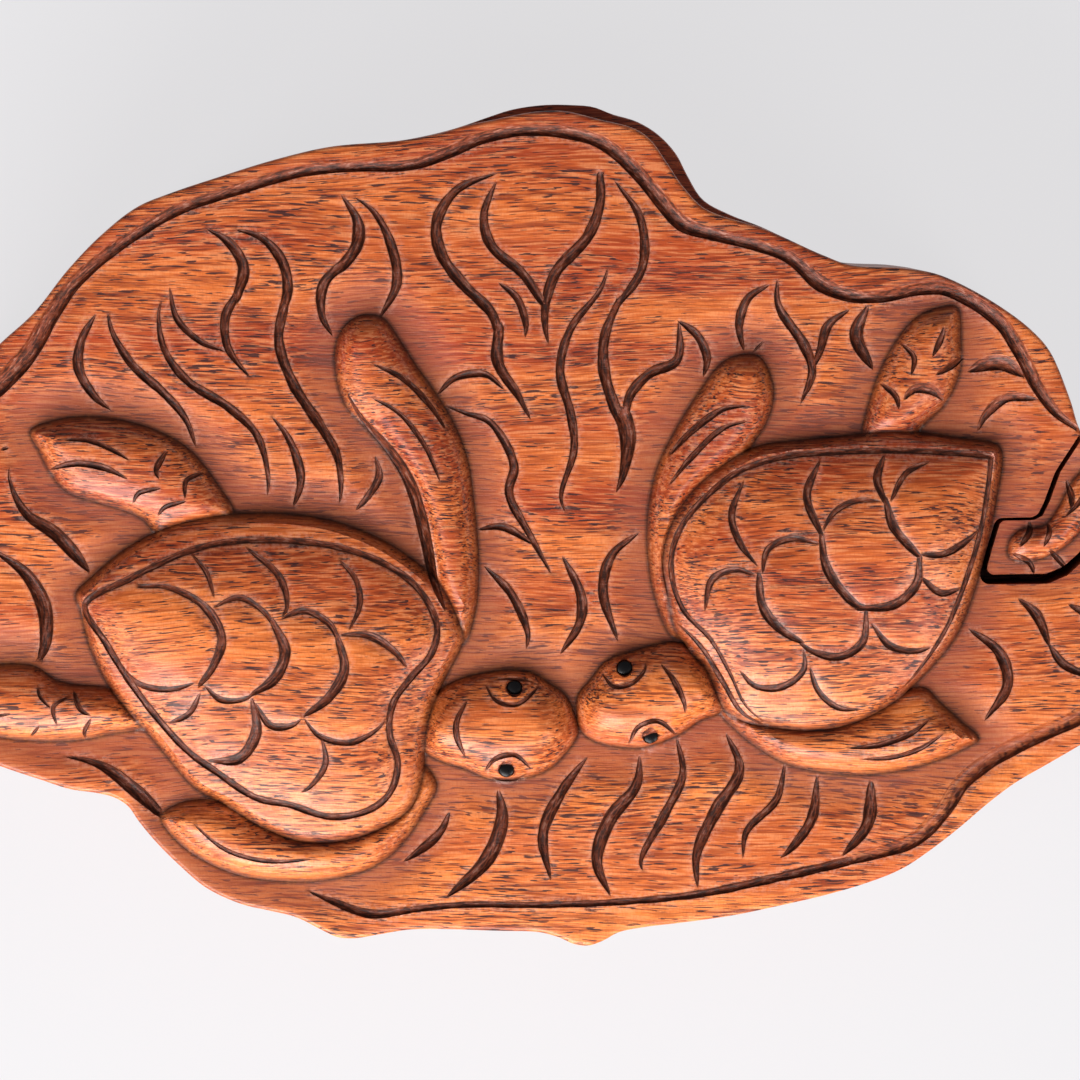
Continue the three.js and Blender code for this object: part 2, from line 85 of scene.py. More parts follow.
LID_OUTLINE: Knots = [
    (0, 344), (34, 313), (69, 269), (103, 234), (138, 207), (172, 193), (220, 177), (275, 160),
    (331, 147), (400, 141), (438, 134), (465, 126), (492, 120.5), (533, 112.5), (563, 111.5),
    (598, 119.5), (634, 129), (650, 140), (666, 162), (683, 187), (705, 209), (764, 229),
    (822, 255), (850, 265), (905, 268.5), (936, 274), (970, 289), (1005, 310), (1032, 331),
    (1050, 352), (1070, 399.5), (1080, 430), (1094, 447), (1112, 458), (1138, 476), (1156, 505),
    (1163, 545), (1160, 600), (1150, 650), (1130, 700), (1105, 731), (1080, 746.5), (1050, 764),
    (1015, 784.5), (988, 805), (960, 829), (929, 853), (902, 870.5), (867, 884.5), (826, 896.5),
    (781, 907), (733, 917), (684, 924), (643, 929), (619, 934), (602, 943), (588, 947.4),
    (574, 945.7), (560, 939.5), (540, 934), (499, 932.5), (413, 931), (379, 936), (354, 940),
    (337, 938.8), (320, 931), (296, 919), (268, 912), (241, 905.7), (206, 889.6), (179, 867),
    (155, 843), (138, 822.5), (127, 807), (113, 798.3), (96, 794), (69, 790), (41, 781),
    (0, 767.3), (-50, 748), (-95, 715), (-122, 660), (-125, 590), (-110, 520), (-85, 450), (-50, 395),
]

# Along this stretch of the back, the box stands a little further out than its lid.
BODY_BACK_EDGE: Knots = [
    (400, 140), (439, 132), (461, 125.7), (492, 115), (512, 108.8), (543, 104.3), (573.5, 104.3),
    (594, 106.3), (613, 113.5), (638, 121), (660, 134.5), (678, 154), (689, 175), (705, 200),
    (733, 215.5), (764, 227.5),
]

# The fret-sawn edge of the key, and on the right a corner well outside the lid that closes it
KEY_CUT: Knots = [
    (1083, 437), (1061, 472), (1050, 502), (1043, 516), (1034, 520.5), (1001, 521), (993, 548),
    (986, 575), (1047, 574), (1065, 566), (1080, 552), (1091, 541), (1103, 527), (1118, 513),
    (1136, 503), (1200, 492), (1200, 300),
]

BOX_SPINE: Knots = [(190, 560), (820, 560)]
TENON_CENTRE = (525.0, 560.0)
TONGUE_CENTRE = (1068.0, 526.0)
PUPILS: Knots = [(514.5, 687.5), (506.5, 769), (624.5, 667.5), (650.5, 735.5)]
VIEW_CENTRE = (540.0, 540.0)
VIEW_SPAN = 1080.0
LID_THICKNESS = 17.2
PUPIL_NODES = ("pupil_left_upper", "pupil_left_lower", "pupil_right_upper", "pupil_right_lower")

# What the carved mesh says of itself for its finish to read: the first five run from 0 to 1, and
# the last two are millimetres across and along the nearest cut or wall.
# wall and foot carry stain and painted shade, and rim wear and a painted highlight.
CARVED_MARKS = ("cut", "wall", "foot", "ground", "rim", "lane", "course")


@dataclass(frozen=True)
class Form:
    """A raised form of the carving: a steep wall round it, then a dome up to its spine.

    Attributes:
        outline: The foot of its wall, closed.
        spine: The line that its dome rises to.
        rise: Height of the spine over the field, in millimetres.
        edge: Height of the wall's top over the field.
        wall: Width of the wall in plan.
        fullness: How early the dome rises: 2 is a parabola, and more is fuller at the edge.
    """

    outline: Knots
    spine: Knots
    rise: float
    edge: float
    wall: float
    fullness: float = 2.2


def shell(outline: Knots, spine: Knots) -> Form:
    """A turtle's shell."""
    return Form(outline, spine, rise=5.5, edge=1.9, wall=1.4, fullness=2.0)


def head(outline: Knots, spine: Knots) -> Form:
    """A turtle's head."""
    return Form(outline, spine, rise=4.1, edge=1.2, wall=0.9, fullness=2.3)


def flipper(outline: Knots, spine: Knots) -> Form:
    """A turtle's flipper."""
    return Form(outline, spine, rise=2.5, edge=1.0, wall=1.35, fullness=2.2)


def low_flipper(outline: Knots, spine: Knots) -> Form:
    """The tip of a flipper that is sawn through with the key."""
    return Form(outline, spine, rise=1.5, edge=0.5, wall=0.7, fullness=2.0)


# From the lowest to the highest, as they overlap
FORMS: list[Form] = [
    flipper(
        [(336, 343), (345, 325), (362, 315), (383, 318), (400, 340), (416, 365), (437, 395),
         (455, 425), (468, 460), (474, 500), (478, 540), (479, 580), (475, 615), (463, 645),
         (445, 640), (432, 600), (425, 550), (413, 500), (395, 465), (367, 430), (345, 405),
         (335, 370)],
        [(360, 345), (395, 410), (432, 470), (452, 540), (455, 610)],
    ),
    flipper(
        [(415, 760), (437, 785), (425, 812), (400, 848), (370, 870), (330, 881), (285, 883),
         (240, 877), (200, 860), (172, 838), (160, 818), (176, 805), (205, 800), (240, 806),
         (280, 820), (330, 822), (375, 810), (400, 785)],
        [(190, 822), (250, 848), (320, 852), (380, 832), (415, 800)],
    ),
    flipper(
        [(30, 431), (60, 419), (100, 417), (150, 428), (190, 450), (218, 485), (234, 513),
         (225, 535), (163, 540), (140, 518), (98, 503), (65, 491), (47, 468), (38, 450)],
        [(60, 440), (130, 465), (195, 505)],
    ),
    flipper(
        [(145, 700), (100, 687), (75, 685), (55, 680), (35, 667), (15, 664), (-15, 666),
         (-50, 672), (-85, 690), (-60, 712), (-30, 728), (0, 738), (40, 742), (80, 741),
         (110, 735), (150, 725)],
        [(-50, 690), (20, 702), (125, 712)],
    ),
    flipper(
        [(735, 356), (752, 354), (763, 360), (774, 390), (768, 420), (752, 446), (735, 475),
         (705, 500), (684, 540), (680, 590), (690, 640), (672, 637), (655, 600), (648, 560),
         (648, 510), (658, 465), (678, 425), (700, 390), (720, 364)],
        [(748, 375), (725, 430), (680, 490), (664, 545), (670, 605)],
    ),
    flipper(
        [(718, 708), (735, 730), (757, 748), (785, 764), (820, 773), (860, 776), (905, 771),
         (940, 761), (965, 750), (980, 740), (962, 722), (940, 702), (925, 688), (880, 695),
         (800, 705), (740, 695)],
        [(750, 722), (830, 745), (900, 742), (950, 732)],
    ),
    flipper(
        [(862, 432), (868, 405), (880, 370), (895, 342), (915, 318), (940, 307), (957, 307),
         (961, 340), (960, 372), (945, 405), (920, 430), (915, 445), (866, 445)],
        [(940, 330), (920, 370), (890, 425)],
    ),
    low_flipper(
        [(1009, 557), (1010, 540), (1022, 529), (1044, 526), (1058, 508), (1072, 482), (1088, 466),
         (1106, 466), (1120, 476), (1118, 490), (1102, 506), (1088, 522), (1072, 542), (1050, 556),
         (1026, 562)],
        [(1026, 545), (1060, 530), (1085, 500), (1102, 482)],
    ),
    head(
        [(440, 690), (458, 680), (480, 674), (510, 670), (530, 672), (550, 684), (566, 696),
         (574, 712), (579, 733), (568, 752), (548, 771), (520, 780), (490, 780), (462, 769),
         (440, 762), (415, 745), (415, 715)],
        [(440, 727), (530, 728)],
    ),
    head(
        [(577, 697), (590, 680), (606, 661), (630, 652), (655, 645), (675, 642), (705, 655),
         (730, 690), (722, 712), (700, 722), (684, 733), (665, 742), (640, 749), (612, 747),
         (590, 740), (579, 728)],
        [(620, 705), (700, 685)],
    ),
    shell(
        [(75, 594), (90, 578), (125, 549), (163, 529), (210, 517), (260, 513), (320, 518),
         (370, 534), (405, 554), (436, 580), (455, 612), (463, 640), (447, 676), (432, 708),
         (425, 740), (424, 770), (412, 806), (385, 827), (345, 841), (300, 842), (262, 828),
         (225, 806), (195, 790), (160, 750), (135, 720), (105, 682), (88, 645), (80, 612)],
        [(190, 625), (330, 690)],
    ),
    shell(
        [(1000, 447), (960, 438), (920, 432), (880, 432), (840, 436), (800, 440), (755, 447),
         (720, 467), (690, 494), (670, 528), (663, 560), (667, 592), (675, 630), (690, 652),
         (706, 670), (716, 692), (726, 712), (745, 722), (775, 728), (810, 731), (845, 726),
         (880, 711), (910, 690), (935, 665), (958, 635), (975, 592), (988, 545), (997, 500)],
        [(780, 600), (900, 530)],
    ),
]


class Layer(Enum):
    """What a cut is carved into."""

    GROUND = "the ground between the raised forms"
    FORM = "a raised form"


@dataclass(frozen=True)
class Cut:
    """One stroke of the gouge.

    Attributes:
        width: Its widest, on the picture's grid.
        knots: Its middle line. A knot's third number, if any, is the width there.
        layer: What it is carved into.
        peak: How far along it is widest, from 0 to 1.
        ends: Share of the width that is left at its two ends.
        lean: Where its floor is deepest, from -1, its right edge, to 1, its left.
        deep: Depth as a share of the width.
        soft: Share of the depth that the wood falls beside it, as on the edge of a scute. It falls
            further on the side that the cut bends round.
        wash: Share of the stain that its gentler side keeps, where it leans.
        closed: Whether it goes round and meets itself.
    """

    width: float
    knots: Knots
    layer: Layer = Layer.GROUND
    peak: float = 0.5
    ends: tuple[float, float] = (0.0, 0.0)
    lean: float = 0.0
    deep: float = 0.55
    soft: float = 0.1
    wash: float = 0.92
    closed: bool = False


def stroke(width: float, *knots: tuple[float, ...], **more: object) -> Cut:
    """A cut into the ground."""
    return Cut(width, list(knots), **more)


def mark(width: float, *knots: tuple[float, ...], **more: object) -> Cut:
    """A thin cut into a head or a flipper."""
    return Cut(width, list(knots), layer=Layer.FORM, **more)


def scute(width: float, *knots: tuple[float, ...], **more: object) -> Cut:
    """A cut between two scutes of a shell, which round off towards it."""
    return Cut(width, list(knots), layer=Layer.FORM, soft=0.7, **more)


BORDER_CUTS = [
    stroke(
        20, (-70, 727, 7), (-96, 700, 12), (-106, 650, 16), (-106, 590, 18), (-92, 520, 18),
        (-68, 458, 19), (-36, 412, 20), (0, 384, 21), (30, 352, 19), (50, 318, 17), (72, 286, 15),
        (100, 260, 13), (138, 233, 12), (180, 209, 12), (240, 189, 12), (300, 172, 12),
        (350, 167, 11), (410, 165, 12), (445, 154, 13), (480, 139, 13), (520, 131, 12),
        (560, 132, 13), (600, 142, 14), (632, 167, 15), (655, 193, 16), (682, 223, 17),
        (720, 236, 13), (758, 246, 12), (790, 258, 13), (820, 283, 17), (848, 295, 14),
        (880, 297, 12), (920, 289, 13), (944, 289, 14), (970, 300, 15), (1000, 322, 15),
        (1020, 352, 15), (1040, 391, 13), (1058, 414, 10), (1076, 428, 5),
        lean=-0.5, deep=0.5, ends=(1, 1),
    ),
    stroke(8, (302, 890), (330, 902), (370, 915), (410, 911), peak=0.6, ends=(0, 0.7)),
    stroke(8, (400, 912), (460, 906), (540, 906), (620, 903), (700, 895), (780, 878), (850, 862),
           peak=0.9, ends=(0.7, 0.9)),
    stroke(17, (836, 864, 9), (880, 853, 13), (915, 840, 16), (943, 812, 17), (963, 783, 17),
           (992, 760, 17), (1037, 736, 17), (1080, 716, 17), (1108, 690, 16), (1128, 650, 14),
           (1137, 600, 12), (1138, 550, 8), ends=(1, 0), lean=-0.35, deep=0.4, wash=0.45),
    stroke(12, (52, 755), (100, 766), (137, 793), (160, 815), peak=0.7, ends=(0, 0.5)),
]

WATER_CUTS = [
    stroke(9, (97, 313), (82, 340), (79, 368), (95, 397), (112, 411)),
    stroke(8, (108, 310), (112, 330), (133, 365), (163, 392), (185, 418), (197, 450)),
    stroke(8, (163, 297), (159, 315), (165, 350), (187, 380), (230, 408), (257, 435), (268, 475),
           (267, 500)),
    stroke(6, (170, 286), (177, 318), (200, 341), (228, 352)),
    stroke(10, (204, 227), (230, 243), (244, 268), (237, 298), peak=0.6, ends=(0, 0.75)),
    stroke(8, (238, 294), (226, 316), (228, 347), (252, 380), peak=0.3, ends=(0.8, 0)),
    stroke(9, (230, 228), (262, 238), (283, 262), (288, 290), (283, 310), peak=0.6, ends=(0, 0.85)),
    stroke(9, (285, 303), (279, 340), (293, 383), (320, 425), (337, 455), (341, 490), (339, 507),
           ends=(0.85, 0)),
    stroke(11, (341, 194), (358, 222), (357, 246), (342, 267), peak=0.6, ends=(0, 0.7)),
    stroke(9, (344, 263), (324, 284), (322, 315), (333, 337), peak=0.35, ends=(0.75, 0)),
    stroke(9, (350, 194), (375, 213), (392, 247), (397, 283), (380, 318), peak=0.6),
    stroke(8, (268, 412), (288, 437), (300, 470), (300, 487), (293, 507), peak=0.6),
    stroke(7, (375, 455), (379, 477), (365, 500), (355, 511), deep=0.3),
    stroke(12, (14, 455), (9, 475), (25, 512), (57, 535), (90, 573), peak=0.7),
    stroke(13, (-14, 547), (4, 557), (27, 575), (44, 608), (45, 643), (40, 658), peak=0.6,
           ends=(0, 0.4)),
    stroke(3, (0, 450), (10, 447)),
    stroke(10, (498, 173), (457, 190), (437, 222), (441, 253), (463, 284), (491, 312), (499, 332),
           ends=(0, 0.8)),
    stroke(10, (499, 328), (498, 362), (518, 395), (531, 420), peak=0.3, ends=(0.85, 0)),
    stroke(9, (497, 180), (484, 215), (491, 245), (523, 274), (543, 303),
           ends=(0, 0.7)),
    stroke(10, (600, 175), (600, 203), (588, 236), (556, 272), (546, 303), (545, 325), (549, 347),
           ends=(0.6, 0)),
    stroke(7, (498, 282), (517, 298), (526, 325), (525, 338)),
    stroke(8, (614, 180), (640, 218), (642, 268), (612, 312), ends=(0, 0.5)),
    stroke(10, (619, 300), (605, 335), (604, 370), (614, 405), (622, 424), peak=0.6,
           ends=(0.5, 0.9)),
    stroke(15, (623, 412), (628, 440), (623, 475), (616, 493), peak=0.15, ends=(0.7, 0)),
    stroke(8, (610, 262), (600, 290), (571, 328), (560, 370), (571, 415), (574, 450), (561, 497),
           (568, 518)),
    stroke(9, (679, 320), (677, 360), (650, 373), (630, 395), (625, 418), ends=(0, 0.7)),
    stroke(8, (677, 320), (697, 335), (707, 358), (703, 378)),
    stroke(7, (437, 395), (455, 378), (485, 374), (505, 390)),
    stroke(8, (443, 405), (465, 413), (490, 422), (514, 465), (509, 493), (530, 535), (553, 577)),
    stroke(7, (477, 530), (503, 527), (535, 545)),
    stroke(8, (483, 565), (512, 595), (528, 635), (526, 650)),
    stroke(9, (562, 555), (581, 595), (580, 622), (560, 655)),
    stroke(9, (640, 532), (612, 555), (603, 590), (618, 642)),
    stroke(8, (770, 284), (748, 298), (739, 325), (744, 352)),
    stroke(9, (777, 278), (778, 305), (805, 347), (812, 372), (800, 405)),
    stroke(8, (850, 309), (828, 325), (820, 350), (812, 370)),
    stroke(12, (868, 305), (856, 335), (873, 370)),
    stroke(2.5, (765, 340), (752, 353)),
    stroke(14, (967, 372), (985, 364), (1003, 363), (1026, 377), lean=-0.6, deep=0.35),
    stroke(9, (1038, 399), (1005, 398), (985, 416), (977, 432), lean=0.5, deep=0.4),
    stroke(8, (450, 812), (440, 833), (418, 853), (403, 863)),
    stroke(13, (498, 790), (502, 820), (487, 860), (446, 899), peak=0.45),
    stroke(10, (588, 757), (562, 792), (543, 835), (551, 882)),
    stroke(12, (640, 755), (637, 785), (610, 820), (597, 862), (611, 898)),
    stroke(8, (676, 735), (683, 775), (665, 815), (641, 862), (644, 875)),
    stroke(11, (726, 733), (740, 770), (717, 810), (697, 855), (698, 890)),
    stroke(7, (786, 762), (777, 800), (747, 832), (743, 860)),
    stroke(9, (818, 776), (812, 820), (787, 854), (780, 859)),
    stroke(11, (872, 781), (868, 825), (842, 858), peak=0.4),
    stroke(9, (1018, 598), (1037, 615), (1050, 647)),
    stroke(8, (1048, 643), (1065, 665), (1096, 678)),
    stroke(10, (968, 628), (1000, 653), (1008, 685), (985, 722)),
    stroke(9, (1068, 604), (1092, 618), (1108, 650)),
    stroke(9, (-52, 430), (-58, 462), (-38, 500), (-18, 520)),
    stroke(10, (-82, 500), (-80, 535), (-55, 570), (-30, 600), (-24, 640)),
    stroke(8, (-98, 590), (-90, 622), (-72, 648), (-60, 668)),
    stroke(7, (-12, 425), (-22, 446), (-14, 470)),
]

LEFT_TURTLE_CUTS = [
    scute(6.5, (85, 605), (130, 578), (190, 550), (230, 541), (290, 540), (345, 548), (390, 566),
          (420, 590), (437, 625), (432, 652), (410, 678), (393, 703), (390, 733), (398, 762),
          (390, 792), (368, 810), (330, 816), (290, 804), (256, 797), (215, 770), (190, 752),
          (160, 720), (130, 680), (105, 640), closed=True, deep=0.6),
    scute(9, (140, 585), (170, 586), (206, 605), (223, 636), (214, 665), (201, 683), peak=0.65,
          ends=(0.4, 0.4)),
    scute(6, (118, 662), (140, 683), (170, 688), (200, 680)),
    scute(6, (212, 607), (240, 596), (265, 610), (274, 622), ends=(0, 0.6)),
    scute(11, (273, 618), (286, 650), (275, 677), (252, 693), ends=(0.4, 0.2)),
    scute(6, (205, 683), (222, 698), (246, 697), (256, 691)),
    scute(7, (280, 618), (305, 609), (330, 622), (339, 637), ends=(0, 0.6)),
    scute(10, (338, 634), (345, 668), (330, 695), (305, 714), ends=(0.4, 0.2)),
    scute(7, (255, 700), (272, 724), (294, 723), (303, 716)),
    scute(8, (340, 633), (370, 634), (397, 652), (408, 668)),
    scute(6, (303, 714), (320, 734), (350, 741), (375, 730), (388, 717)),
    scute(5, (191, 552), (207, 570), (216, 597)),
    scute(7, (245, 545), (280, 575), (288, 605), (282, 617)),
    scute(6, (338, 557), (357, 580), (360, 605), (349, 630)),
    scute(6, (202, 690), (190, 712), (168, 723)),
    scute(11, (253, 698), (257, 730), (240, 757), (206, 760), ends=(0.2, 0)),
    scute(6, (322, 733), (326, 762), (310, 786), (300, 792)),
    mark(5, (62, 440), (90, 440), (125, 456), (133, 462)),
    mark(7, (48, 470), (75, 463), (105, 467), (130, 479)),
    mark(6, (168, 449), (157, 470), (160, 479)),
    mark(5, (205, 472), (187, 480), (186, 499)),
    mark(5, (163, 487), (139, 493), (133, 504)),
    mark(5, (188, 500), (165, 507), (158, 516)),
    mark(3.5, (38, 683), (40, 695), (52, 708)),
    mark(4, (72, 695), (54, 706), (58, 728)),
    mark(5, (73, 690), (82, 710), (92, 715)),
    mark(4, (92, 717), (84, 733), (86, 740)),
    mark(3, (40, 725), (30, 737)),
    mark(3, (-6, 716), (12, 713)),
    mark(6, (370, 362), (403, 378), (430, 405), (448, 432)),
    mark(5, (368, 395), (400, 413), (425, 445), (440, 480), (442, 487)),
    mark(12, (343, 385), (362, 418), (390, 450), (408, 478), (419, 510), (427, 545), (434, 580),
         (446, 612), deep=0.25, peak=0.6),
    mark(4.5, (190, 820), (225, 849), (268, 861), (320, 858)),
    mark(6, (468, 698), (457, 720), (457, 735), (466, 758)),
    mark(4.5, (484, 682), (497, 700), (517, 703), (535, 690), (540, 682)),
    mark(2.5, (486, 683), (500, 679), (515, 679), (530, 681), (541, 686)),
    mark(5, (483, 774), (495, 758), (515, 754), (532, 769)),
    mark(3, (485, 776), (500, 780), (515, 780), (530, 772)),
]

RIGHT_TURTLE_CUTS = [
    scute(6, (990, 456), (960, 453), (900, 450), (830, 452), (785, 456), (740, 470), (705, 497),
          (683, 523), (672, 552), (673, 583), (685, 612), (710, 638), (730, 673), (745, 704),
          (765, 721), (792, 728), ends=(0.9, 0), peak=0.4, deep=0.6),
    scute(5, (990, 456), (988, 480), (980, 530), (965, 580), (945, 629), (915, 674), (890, 700),
          ends=(0.9, 0), peak=0.4, deep=0.5),
    mark(5, (672, 618), (700, 645), (722, 680), (742, 712), (770, 728), deep=0.35),
    scute(7, (744, 478), (731, 515), (740, 543), (758, 566)),
    scute(8, (820, 458), (806, 495), (821, 535), ends=(0, 0.4)),
    scute(8, (884, 453), (876, 478), (884, 502), ends=(0, 0.4)),
    scute(7, (761, 574), (767, 548), (790, 537), (821, 543)),
    scute(9, (758, 572), (762, 605), (780, 628), (802, 641), ends=(0.4, 0.3)),
    scute(9, (820, 533), (826, 567), (855, 603), (870, 607), ends=(0.4, 0.4)),
    scute(6, (820, 532), (832, 512), (853, 500), (882, 500)),
    scute(9, (918, 554), (915, 583), (893, 603), (856, 607), ends=(0.4, 0.4)),
    scute(9, (884, 497), (892, 525), (912, 549), (919, 556), ends=(0.4, 0.4)),
    scute(6, (930, 460), (905, 472), (888, 502)),
    scute(7, (916, 553), (942, 553), (967, 539), (979, 528)),
    scute(7, (919, 575), (940, 592), (960, 588)),
    scute(8, (865, 608), (862, 640), (840, 655), (812, 650), (800, 642), ends=(0.3, 0.3)),
    scute(7, (869, 620), (890, 645), (917, 650), (932, 646)),
    scute(7, (802, 644), (803, 668), (783, 685), (755, 685), (738, 668)),
    scute(6, (808, 662), (818, 690), (838, 707), (862, 709)),
    scute(7, (756, 574), (735, 568), (712, 578), (704, 611)),
    mark(7, (747, 405), (722, 409), (688, 434), (667, 458)),
    mark(6, (750, 420), (722, 428), (690, 458), (667, 487)),
    mark(6, (845, 748), (880, 744), (910, 733), (932, 717)),
    mark(5, (858, 759), (892, 757), (920, 748), (947, 730)),
    mark(5, (900, 343), (913, 357), (910, 376)),
    mark(6, (943, 325), (941, 335), (931, 357)),
    mark(7, (964, 357), (943, 370), (934, 375), lean=0.4),
    mark(6, (880, 383), (895, 396), (898, 409)),
    mark(10, (902, 400), (912, 389), (930, 389), (945, 401), lean=-0.6, deep=0.35),
    mark(6, (660, 662), (673, 678), (684, 702), (685, 713)),
    mark(4.5, (601, 671), (613, 685), (632, 682), (645, 668), (645, 659)),
    mark(5, (628, 746), (638, 726), (658, 720), (679, 738)),
]

KEY_CUTS = [
    mark(6, (1029, 520), (1030, 530), (1019, 547)),
    mark(5, (1048, 522), (1049, 532), (1043, 547)),
    mark(6, (1012, 553), (1030, 563), (1035, 575)),
    mark(6, (1048, 548), (1062, 563), (1068, 570)),
    mark(6, (1066, 479), (1071, 495), (1071, 510)),
    mark(5, (1092, 478), (1080, 500), (1064, 517)),
]

ALL_CUTS = BORDER_CUTS + WATER_CUTS + LEFT_TURTLE_CUTS + RIGHT_TURTLE_CUTS + KEY_CUTS


def on_plan(knots: Knots) -> np.ndarray:
    """Lays knots that are drawn on the picture's grid on the box's plan.

    Args:
        knots: Points on the grid. Anything after x and y is left out.

    Returns:
        The points in millimetres, one a row.
    """
    low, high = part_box("lid")
    reach = np.array([high.x / (GRID_RIGHT - GRID_MIDDLE[0]), low.y / (GRID_FRONT - GRID_MIDDLE[1])])
    drawn = np.array([knot[:2] for knot in knots], float)
    return (drawn - GRID_MIDDLE) * reach / MM


def smooth_through(knots: np.ndarray, closed: bool, per_span: int) -> np.ndarray:
    """A centripetal spline through knots.

    Args:
        knots: Points or rows of numbers, in order. The first two columns are the place.
        closed: Whether it goes round.
        per_span: How many points it gets from one knot to the next.

    Returns:
        The points along it. A closed one doesn't repeat its first point.
    """
    if closed:
        ring = np.vstack([knots[-1:], knots, knots[:2]])
    else:
        ring = np.vstack([2 * knots[0] - knots[1], knots, 2 * knots[-1] - knots[-2]])
    t = np.linspace(0, 1, per_span, endpoint=False)[:, None]
    spans = []
    for before, start, end, after in zip(ring, ring[1:], ring[2:], ring[3:]):
        steps = np.array([start - before, end - start, after - end])
        gaps = np.linalg.norm(steps[:, :2], axis=1) ** 0.5
        slopes = steps / gaps[:, None]
        leave = slopes[0] - (end - before) / (gaps[0] + gaps[1]) + slopes[1]
        arrive = slopes[1] - (after - start) / (gaps[1] + gaps[2]) + slopes[2]
        curve = (2 * t**3 - 3 * t**2 + 1) * start + (3 * t**2 - 2 * t**3) * end
        spans.append(curve + ((t**3 - 2 * t**2 + t) * leave + (t**3 - t**2) * arrive) * gaps[1])
    if not closed:
        spans.append(knots[-1:])
    return np.vstack(spans)


def evenly(line: np.ndarray, step: float, closed: bool) -> np.ndarray:
    """The same line with its points an even step apart.

    Args:
        line: Rows whose first two columns are the place.
        step: About how far apart, in millimetres.
        closed: Whether the line goes round.

    Returns:
        The new rows. A closed line doesn't repeat its first point.
    """
    rows = np.vstack([line, line[:1]]) if closed else line
    along = np.append(0, np.cumsum(np.linalg.norm(np.diff(rows[:, :2], axis=0), axis=1)))
    count = max(3, round(along[-1] / step))
    places = np.linspace(0, along[-1], count + 1)[: count if closed else count + 1]
    return np.stack([np.interp(places, along, column) for column in rows.T], 1)


def anticlockwise(ring: np.ndarray) -> np.ndarray:
    """The ring, turned round if it runs clockwise."""
    after = np.roll(ring, -1, 0)
    area = (ring[:, 0] * after[:, 1] - after[:, 0] * ring[:, 1]).sum()
    return ring if area > 0 else ring[::-1]


def outline_of(knots: Knots, step: float) -> np.ndarray:
    """The smooth closed outline through drawn knots, anticlockwise, in millimetres."""
    return evenly(anticlockwise(smooth_through(on_plan(knots), True, 12)), step, True)


def kept_within(node: str, ring: np.ndarray) -> np.ndarray:
    """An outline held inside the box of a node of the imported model.

    Args:
        node: The node.
        ring: The outline.

    Returns:
        The outline with what stands out of the box brought back to it.
    """
    low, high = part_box(node)
    return np.clip(ring, np.array(low[:2]) / MM, np.array(high[:2]) / MM)


def left_of(line: np.ndarray, closed: bool) -> np.ndarray:
    """Unit vectors to the left of a line, which is inwards on an anticlockwise ring."""
    if closed:
        ahead = np.roll(line, -1, 0) - np.roll(line, 1, 0)
    else:
        ahead = np.gradient(line, axis=0)
    ahead = ahead / np.maximum(np.linalg.norm(ahead, axis=1, keepdims=True), 1e-9)
    return np.stack([-ahead[:, 1], ahead[:, 0]], 1)


def nearest_on(points: np.ndarray, line: np.ndarray) -> tuple[np.ndarray, np.ndarray, np.ndarray]:
    """Finds where a line of closely spaced points comes nearest to each point.

    Args:
        points: Points in plan.
        line: The line's points. A closed line ends with its first point.

    Returns:
        The distances, the places along the line as fractional row numbers, and 1 or -1 for points
        on the line's left or right.
    """
    tree = KDTree(len(line))
    for number, (x, y) in enumerate(line):
        tree.insert((x, y, 0), number)
    tree.balance()
    vertex = np.array([tree.find((x, y, 0))[1] for x, y in points], int)
    along = np.diff(line, axis=0)
    squares = np.maximum((along**2).sum(1), 1e-12)
    last = len(along) - 1
    goes_round = np.allclose(line[0], line[-1])
    before = (vertex - 1) % len(along) if goes_round else np.maximum(vertex - 1, 0)
    distance = np.full(len(points), np.inf)
    place, side = np.zeros(len(points)), np.zeros(len(points))
    for span in (before, np.where(vertex > last, 0 if goes_round else last, vertex)):
        offset = points - line[span]
        share = np.clip((offset * along[span]).sum(1) / squares[span], 0, 1)
        gap = np.linalg.norm(offset - share[:, None] * along[span], axis=1)
        closer = gap < distance
        distance = np.where(closer, gap, distance)
        place = np.where(closer, span + share, place)
        turn = along[span, 0] * offset[:, 1] - along[span, 1] * offset[:, 0]
        side = np.where(closer, np.sign(turn), side)
    return distance, place, side


def closed_up(ring: np.ndarray) -> np.ndarray:
    """The ring as an open line that ends where it starts."""
    return np.vstack([ring, ring[:1]])


def inside(points: np.ndarray, ring: np.ndarray) -> np.ndarray:
    """Which points lie inside a closed ring."""
    found = np.zeros(len(points), bool)
    near = np.flatnonzero(((points > ring.min(0)) & (points < ring.max(0))).all(1))
    ends = np.roll(ring, -1, 0)
    for block in np.array_split(near, len(near) * len(ring) // 5_000_000 + 1):
        x, y = points[block, :1], points[block, 1:]
        spans = (ring[:, 1] > y) != (ends[:, 1] > y)
        rise = np.where(ends[:, 1] == ring[:, 1], 1e-12, ends[:, 1] - ring[:, 1])
        crossing = ring[:, 0] + (y - ring[:, 1]) * (ends[:, 0] - ring[:, 0]) / rise
        found[block] = (spans & (x < crossing)).sum(1) % 2 == 1
    return found


def ramp(value: np.ndarray) -> np.ndarray:
    """A smooth step from 0 to 1."""
    share = np.clip(value, 0, 1)
    return share * share * (3 - 2 * share)


def runs(line: np.ndarray, keep: np.ndarray) -> list[np.ndarray]:
    """The stretches of a line whose points are kept, each at least two points long."""
    breaks = np.flatnonzero(np.diff(keep.astype(int))) + 1
    pieces = zip(np.split(line, breaks), np.split(keep, breaks))
    return [piece for piece, kept in pieces if kept[0] and len(piece) > 1]


